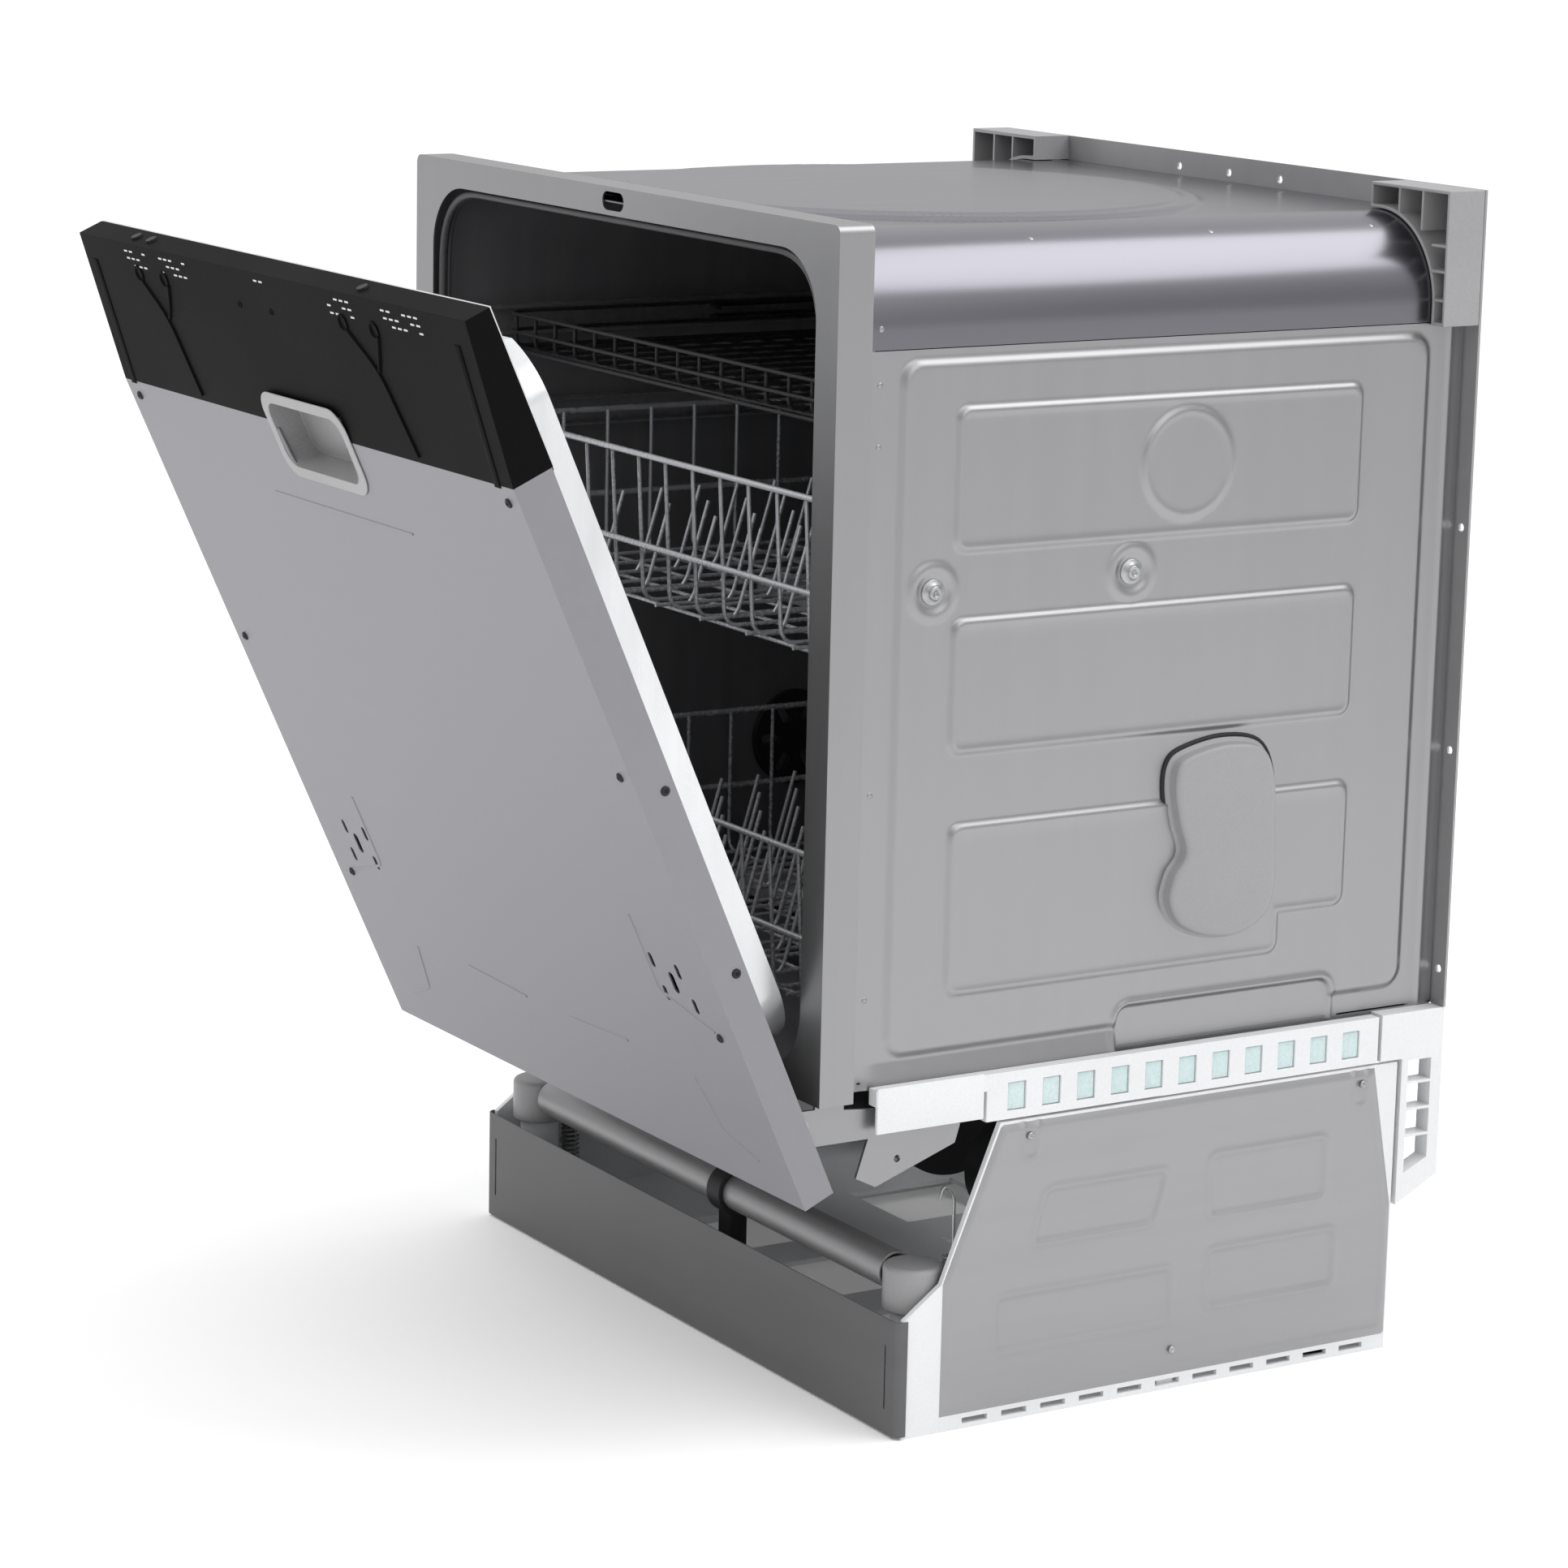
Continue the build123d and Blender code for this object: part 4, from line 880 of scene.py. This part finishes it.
def block(name, length, width, high, round_by=0.4, sink=0.3):
    """A small rounded block, X by Y by Z mm, standing on its place."""
    shell = bmesh.new()
    bmesh.ops.create_cube(shell, size=1.0)
    for vert in shell.verts:
        level = (vert.co.z + 0.5) * (high + sink) - sink
        vert.co = Vector((vert.co.x * length, vert.co.y * width, level))
    bmesh.ops.bevel(shell, geom=shell.edges[:], offset=round_by, segments=2, affect="EDGES", profile=0.5)
    mesh = bpy.data.meshes.new(name)
    shell.to_mesh(mesh)
    shell.free()
    return mesh


# %% [markdown]
# ### The door's own directions
# The door stands tilted about its hinge. Three vectors say where a point of the door is: across, up along
# the door, and inwards through its thickness. The hinge joint of the model gives the place they start
# from.

# %% Door directions
TILT = math.radians(24.4)
inward = np.array([0, math.cos(TILT), math.sin(TILT)])
upward = np.array([0, -math.sin(TILT), math.cos(TILT)])
hinge = next(j for j in frame["joints"] if j["name"] == "door_hinge")
pivot = np.array(hinge["pos_m"]) / MM
door_foot = np.array([0, pivot[1], pivot[2]]) - 18.6 * inward - 53.1 * upward
PANEL_HIGH, DOOR_HIGH, CONSOLE_LEAN = 552.0, 664.0, 12.0


def door_point(x, along, inside=0.0):
    return door_foot + np.array([x, 0, 0]) + along * upward + inside * inward


def console_point(x, along, proud=0.0):
    """A point on the console's front, which leans back towards its top."""
    lean = CONSOLE_LEAN * (along - PANEL_HIGH) / (DOOR_HIGH - PANEL_HIGH)
    return door_point(x, along, lean - proud)


console_facing = -inward * (DOOR_HIGH - PANEL_HIGH) + upward * CONSOLE_LEAN
console_facing = console_facing / np.linalg.norm(console_facing)
print("door foot", np.round(door_foot, 1))

# %% [markdown]
# ### Screws
# A pan-head screw is a turned profile: a flat skirt, a low dome, and a socket sunk in the middle. The
# bolts of the rack rails have a wide washer under a taller head.

# %% Screws, bolts and weld marks
pan_head = turned("pan_head", [
    (0, -0.6), (3.4, -0.6), (3.4, 0.5), (3.0, 1.1), (1.9, 1.6), (1.5, 1.5), (1.3, 0.3), (0, 0.3),
])
bolt_head = turned("bolt_head", [
    (0, -1.5), (9.0, -1.5), (9.0, 0.6), (8.2, 1.1), (5.2, 1.3), (5.0, 4.0), (4.2, 4.8), (2.2, 4.9),
    (2.0, 3.0), (0, 3.0),
], 20)
weld_dot = turned("weld_dot", [(0, -0.4), (2.6, -0.4), (2.3, 0.15), (1.4, 0.45), (0, 0.5)], 14)
RIGHT, UP = np.array([1.0, 0, 0]), np.array([0, 0, 1.0])
door_spots = []
for side in (1, -1):
    for along in (540, 338):
        door_spots.append((door_point(side * 282, along), -inward, RIGHT))
    door_spots.append((door_point(side * 273, 133), -inward, RIGHT))
    for along in (320, 180):
        depth = 24 + 6 * along / PANEL_HIGH - 8
        door_spots.append((door_point(side * 297, along, depth), side * RIGHT, upward))
        door_spots.append((door_point(side * 266, along - 4, 34), inward, RIGHT))
screws = stamped("door_screw_heads", pan_head, door_spots, dark_plastic)
settle_on(screws, "door", "zinc_steel", "door_screws")
bolts = []
for side in (1, -1):
    for y, z in BOLT_SEATS:
        bolts.append(((side * (WALL_X + PAN_RISE - 0.4), at(y), z), side * RIGHT, UP))
settle_on(stamped("rail_bolt_heads", bolt_head, bolts, zinc_steel), "cabinet", "zinc_steel", "rail_bolts")
plate_spots = []
welds = []
for side in (1, -1):
    for y, z in ((172, 205), (462, 205), (300, 30)):
        plate_spots.append(((side * 299, at(y), z), side * RIGHT, UP))
    for z in (766, 729, 688, 454, 313):
        welds.append(((side * 284, at(42), z), side * RIGHT, UP))
    for y in (180, 330, 470):
        welds.append(((side * 252, at(y), 818), np.array([side * 0.5, 0, 0.87]), UP))
plate_heads = stamped("plate_screw_heads", pan_head, plate_spots, zinc_steel, 0.8)
settle_on(plate_heads, "cabinet", "zinc_steel", "plate_screws")
settle_on(stamped("weld_marks", weld_dot, welds, pressed_steel, 0.9), "cabinet", "tub_steel")
print("screws", len(door_spots) + len(plate_spots), "bolts", len(bolts), "welds", len(welds))

# %% [markdown]
# ### Pressed lines of the door
# The outer panel has thin pressed lines around its fixing slots and under the handle. They are ridges
# half sunk in the sheet, so they are drawn as round wire whose middle lies just under the surface.

# %% Door lines


def on_door(points, sink):
    return [tuple(door_point(x, along, sink)) for x, along in points]


door_lines = []
for side in (1, -1):
    door_lines.append(bent(on_door([(side * 207, 214), (side * 207, 154), (side * 268, 136)], 0.9), 6))
    door_lines.append(bent(on_door([(side * 205, 82), (side * 217, 42), (side * 255, 28)], 0.9), 5))
    door_lines.append(on_door([(side * 32, 84), (side * 118, 88)], 0.9))
door_lines.append(on_door([(-99, 489), (110, 489)], 0.9))
door_lines.append(bent(on_door([(-48, 546), (-44, 514), (46, 514), (60, 522), (62, 546)], 0.8), 14))
lines = wires("door_lines", door_lines, 1.5, door_steel, 8)
settle_on(lines, "door", "door_steel")

# %% [markdown]
# ### Details of the console
# The console's face carries moulded grooves for the cables, two round sockets on each side, and small
# printed marks near its upper edge. The marks are plain dots and dashes without meaning. Each is a thin
# raised piece, so it also exists in the mesh. The grooves and sockets are drawn raised in a near-black that
# is darker than the console: painted shade of their depth.

# %% Console details


def on_console(points, proud):
    return [tuple(console_point(x, along, proud)) for x, along in points]


channels = [
    bent(on_console([(-206, 638), (-178, 612), (-160, 556)], -0.2), 14),
    bent(on_console([(-160, 638), (-168, 622), (-176, 612)], -0.2), 5),
    bent(on_console([(118, 638), (150, 612), (172, 556)], -0.2), 14),
    bent(on_console([(164, 638), (156, 622), (150, 612)], -0.2), 5),
]
cables = wires("console_channels", channels, 1.7, groove_black, 8)
settle_on(cables, "door", "console_plastic")
groove_bar = block("groove_bar", 96, 8.0, 0.5, 0.25)
socket_ring = turned("socket_ring", [
    (0, -0.4), (6.5, -0.4), (6.5, 0.6), (5.6, 0.9), (4.8, 0.6), (4.6, 0.1), (0, 0.1),
], 24)
grooves = [(console_point(x, 598), console_facing, upward) for x in (-282, 276)]
settle_on(stamped("console_grooves", groove_bar, grooves, groove_black), "door", "console_plastic")
sockets = [(console_point(x, 642), console_facing, upward) for x in (-207, -165, 115, 160)]
settle_on(stamped("console_sockets", socket_ring, sockets, groove_black), "door", "console_plastic")
buds = [(console_point(x, 637), console_facing, upward) for x in (-45, 4)]
settle_on(stamped("console_buds", socket_ring, buds, groove_black, 0.4), "door", "console_plastic")
dash = block("mark_dash", 5.0, 1.3, 0.25, 0.1, sink=0.1)
marks = []
for group, columns in ((-222, 4), (-165, 5), (-10, 3), (100, 4), (178, 6)):
    for i in range(columns):
        for row in range(3 if columns > 3 else 1):
            skip = (i * 7 + row * 5 + int(group)) % 4
            if skip:
                place = console_point(group + 9.5 * i + 1.3 * skip, 658 - 5.2 * row)
                marks.append((place, console_facing, RIGHT))
settle_on(stamped("console_marks", dash, marks, print_white), "door", "console_plastic")
print("console marks", len(marks))

# %% [markdown]
# ### The vent cover
# A moulded cover with a narrow waist hides the air inlet. Its outline is a smooth closed curve through a
# few points. Rings of that outline, drawn in step by step while they rise, give the foot, the wall, the
# rounded shoulder and the slightly crowned top.

# %% Vent cover
COVER_OUTLINE = [
    (296, 464), (330, 470), (362, 464), (375, 440), (377, 400), (379, 365), (372, 340), (348, 326),
    (318, 327), (292, 338), (280, 358), (284, 378), (293, 392), (287, 412), (282, 436), (284, 455),
]


def smooth_loop(points, steps):
    """A closed Catmull-Rom curve through the points."""
    loop = []
    count = len(points)
    for i in range(count):
        a, b, c, d = (np.array(points[(i + k) % count], float) for k in (-1, 0, 1, 2))
        for t in np.arange(steps) / steps:
            loop.append(0.5 * (2 * b + (c - a) * t + (2 * a - 5 * b + 4 * c - d) * t**2
                               + (3 * b - a - 3 * c + d) * t**3))
    return np.array(loop)


def drawn_in(loop, amount):
    """The loop moved inwards along its own normals."""
    ahead = np.roll(loop, -1, 0) - np.roll(loop, 1, 0)
    normals = np.stack([-ahead[:, 1], ahead[:, 0]], 1) / np.linalg.norm(ahead, axis=1)[:, None]
    centre = loop.mean(0)
    if ((centre - loop) * normals).sum() < 0:
        normals = -normals
    return loop + normals * amount


outline = smooth_loop(COVER_OUTLINE, 6)
cover_base = WALL_X + 3.0
cover_rings = [
    (0.0, 0.0), (0.0, 1.4), (1.2, 2.4), (2.6, 2.8), (3.4, 4.0), (3.8, 9.5), (4.6, 10.9), (6.4, 11.7),
    (9.5, 12.0),
]
cover_places, cover_faces = [], []
for amount, rise in cover_rings:
    ring = drawn_in(outline, amount)
    cover_places += [(cover_base + rise, at(y), z) for y, z in ring]
count = len(outline)
for level in range(len(cover_rings) - 1):
    for i in range(count):
        after = (i + 1) % count
        low, high = level * count, (level + 1) * count
        cover_faces.append((low + i, low + after, high + after, high + i))
cover_faces.append(tuple(range(count)))
cover_faces.append(tuple(range((len(cover_rings) - 1) * count, len(cover_rings) * count)))
# A dark tube laid just outside the cover's foot is a painted shadow: it stands for the dark outline where the
# cover meets the wall.
cover_shadow_ring = [(cover_base + 0.4, at(y), z) for y, z in drawn_in(outline, -1.0)]
cover_shadow_tube = wires("vent_cover_gasket", [cover_shadow_ring + cover_shadow_ring[:1]], 1.6, dark_plastic, 8)
settle_on(cover_shadow_tube, "cabinet", "cover_plastic")
cover_places = [(x * MM, y * MM, z * MM) for x, y, z in cover_places]
cover = solid_mesh("vent_cover_moulding", cover_places, cover_faces, cover_plastic)
facing_out(cover)
settle_on(cover, "cabinet", "cover_plastic", "vent_cover")
print("vent cover", len(cover.data.polygons), "faces")

# %% [markdown]
# ### The side plates of the base
# Each plate is a thin pressed sheet with a bead around its edge and four shallow fields. Its front edge
# runs up at a slant, so the grid's columns are spread between the slanted front edge and the straight
# rear edge.

# %% Side plates
PLATE_X, PLATE_LOW, PLATE_HIGH = 297.6, 11.0, 215.0
plate_zs = np.linspace(PLATE_LOW, PLATE_HIGH, 110)
plate_share = np.linspace(0.0, 1.0, 205)


def plate_front(z):
    """y of the plate's front edge at a height: upright to the knee, then slanting back."""
    knee = 104 + (z - 107) * 45 / 108
    return np.where(z < 107, 104, knee)


def plate_rear(z):
    slant = 494 - (z - 109) * 20 / 106
    return np.where(z < 109, 494, slant)


share, plate_z = np.meshgrid(plate_share, plate_zs, indexing="ij")
plate_y = plate_front(plate_z) * (1 - share) + plate_rear(plate_z) * share
edge_gap = np.minimum.reduce([
    plate_y - plate_front(plate_z), plate_rear(plate_z) - plate_y,
    plate_z - PLATE_LOW, PLATE_HIGH - plate_z,
])
slanted = plate_y - (plate_z - 124) * 0.3
fields = [in_field(slanted, plate_z, 174, 282, 124, 166, 8)]
for low_y, high_y, low_z, high_z in ((327, 434, 122, 171), (146, 300, 49, 93), (328, 445, 55, 101)):
    fields.append(in_field(plate_y, plate_z, low_y, high_y, low_z, high_z, 8))
plate_rise = -1.2 * (1 - shoulder(edge_gap - 1.2, 3)) + 1.0 * bead(edge_gap - 6, 2.0)
for field in fields:
    plate_rise = plate_rise - 0.8 * shoulder(field, 3.2) + 1.9 * bead(field - 1.5, 2.3)
for tab_y in (173, 461):
    tab = in_field(plate_y, plate_z, tab_y - 6, tab_y + 6, 188, 222, 6)
    plate_rise = plate_rise + 1.2 * bead(tab, 1.5)
for side, label in ((1, "right"), (-1, "left")):
    outer = np.stack([side * (PLATE_X + plate_rise), at(plate_y), plate_z], -1)
    inner = np.stack([side * (PLATE_X + plate_rise - 0.8), at(plate_y), plate_z], -1)
    plate = sheet_between(f"base_plate_{label}", outer, inner, cover_steel)
    settle_on(plate, "cabinet", "cover_steel", f"side_plate_{label}")
print("side plate", len(plate.data.polygons), "faces")

# %% [markdown]
# ### Windows of the support rails
# The white rail under the tub has a row of windows with a milky green-blue filling, and fine ribs on its
# front part.

# %% Rail windows
pane = block("rail_pane", 14.4, 19.4, 2.6, 0.8)
rail_rib = block("rail_rib", 1.6, 30.0, 1.0, 0.3)
rail_front = block("rail_front", 87.0, 32.0, 3.0, 0.8)
panes, ribs, fronts = [], [], []
for side in (1, -1):
    for i in range(11):
        panes.append(((side * 294.2, at(305 + 29 * (i - 5)), 235), side * RIGHT, np.array([0, 1.0, 0])))
    fronts.append(((side * 295.6, at(89), 238), side * RIGHT, np.array([0, 1.0, 0])))
    for i in range(9):
        ribs.append(((side * 297.4, at(49 + 10 * i), 238), side * RIGHT, np.array([0, 1.0, 0])))
settle_on(stamped("rail_windows", pane, panes, milky_plastic), "cabinet", "white_plastic")
settle_on(stamped("rail_fronts", rail_front, fronts, white_plastic), "cabinet", "white_plastic")
settle_on(stamped("rail_ribs", rail_rib, ribs, white_plastic), "cabinet", "white_plastic")
print("windows", len(panes), "ribs", len(ribs))

# %% [markdown]
# ### Springs that carry the door
# A door spring is a closely wound coil with a straight end that runs up to the hinge. A helix is the
# simplest rule there is: the angle grows evenly with the height.

# %% Springs
SPRING_X, SPRING_Y, SPRING_LOW, SPRING_HIGH = 272.0, 128.0, 22.0, 118.0
COIL_RADIUS, COIL_TURNS, COIL_STEPS = 6.6, 26, 12
coils = []
for side in (1, -1):
    path = [(side * SPRING_X, at(SPRING_Y), 15.0)]
    for i in range(COIL_TURNS * COIL_STEPS + 1):
        angle = 2 * math.pi * i / COIL_STEPS
        height = SPRING_LOW + (SPRING_HIGH - SPRING_LOW) * i / (COIL_TURNS * COIL_STEPS)
        out, back = COIL_RADIUS * math.cos(angle), COIL_RADIUS * math.sin(angle)
        path.append((side * SPRING_X + out, at(SPRING_Y) + back, height))
    path += bent([(side * SPRING_X, at(SPRING_Y), 124), (side * SPRING_X, at(SPRING_Y), 162),
                  (side * SPRING_X, at(SPRING_Y - 9), 170), (side * SPRING_X, at(SPRING_Y - 12), 160)], 6)
    coils.append(path)
springs = wires("door_spring_coils", coils, 1.2, zinc_steel, 8)
settle_on(springs, "cabinet", "zinc_steel", "door_springs")
print("springs", len(springs.data.polygons), "faces")

# %% [markdown]
# ### The door's seal
# A soft rubber tube with a second, smaller lip lies all around the tub's mouth.

# %% Door seal
SEAL_X, SEAL_TOP, SEAL_LOW, SEAL_CORNER = 266.4, 812.6, 308.0, 42.0


def seal_path(x, top, y):
    corners = [(-x, at(y), SEAL_LOW), (-x, at(y), top), (x, at(y), top), (x, at(y), SEAL_LOW)]
    return bent(corners, SEAL_CORNER * 1.35, 12)


SEAL_TUBE, LIP_TUBE, LIP_OUT, LIP_BACK = 2.9, 2.0, 0.6, 5.0
SEAL_Y = 6.5
seal = joined("door_seal_tubes", [
    wires("seal_outer", [seal_path(SEAL_X, SEAL_TOP, SEAL_Y)], SEAL_TUBE, seal_rubber, 12),
    wires("seal_lip", [seal_path(SEAL_X + LIP_OUT, SEAL_TOP + LIP_OUT, SEAL_Y + LIP_BACK)], LIP_TUBE,
          seal_rubber, 10),
])
settle_on(seal, "cabinet", "seal_rubber", "door_seal")
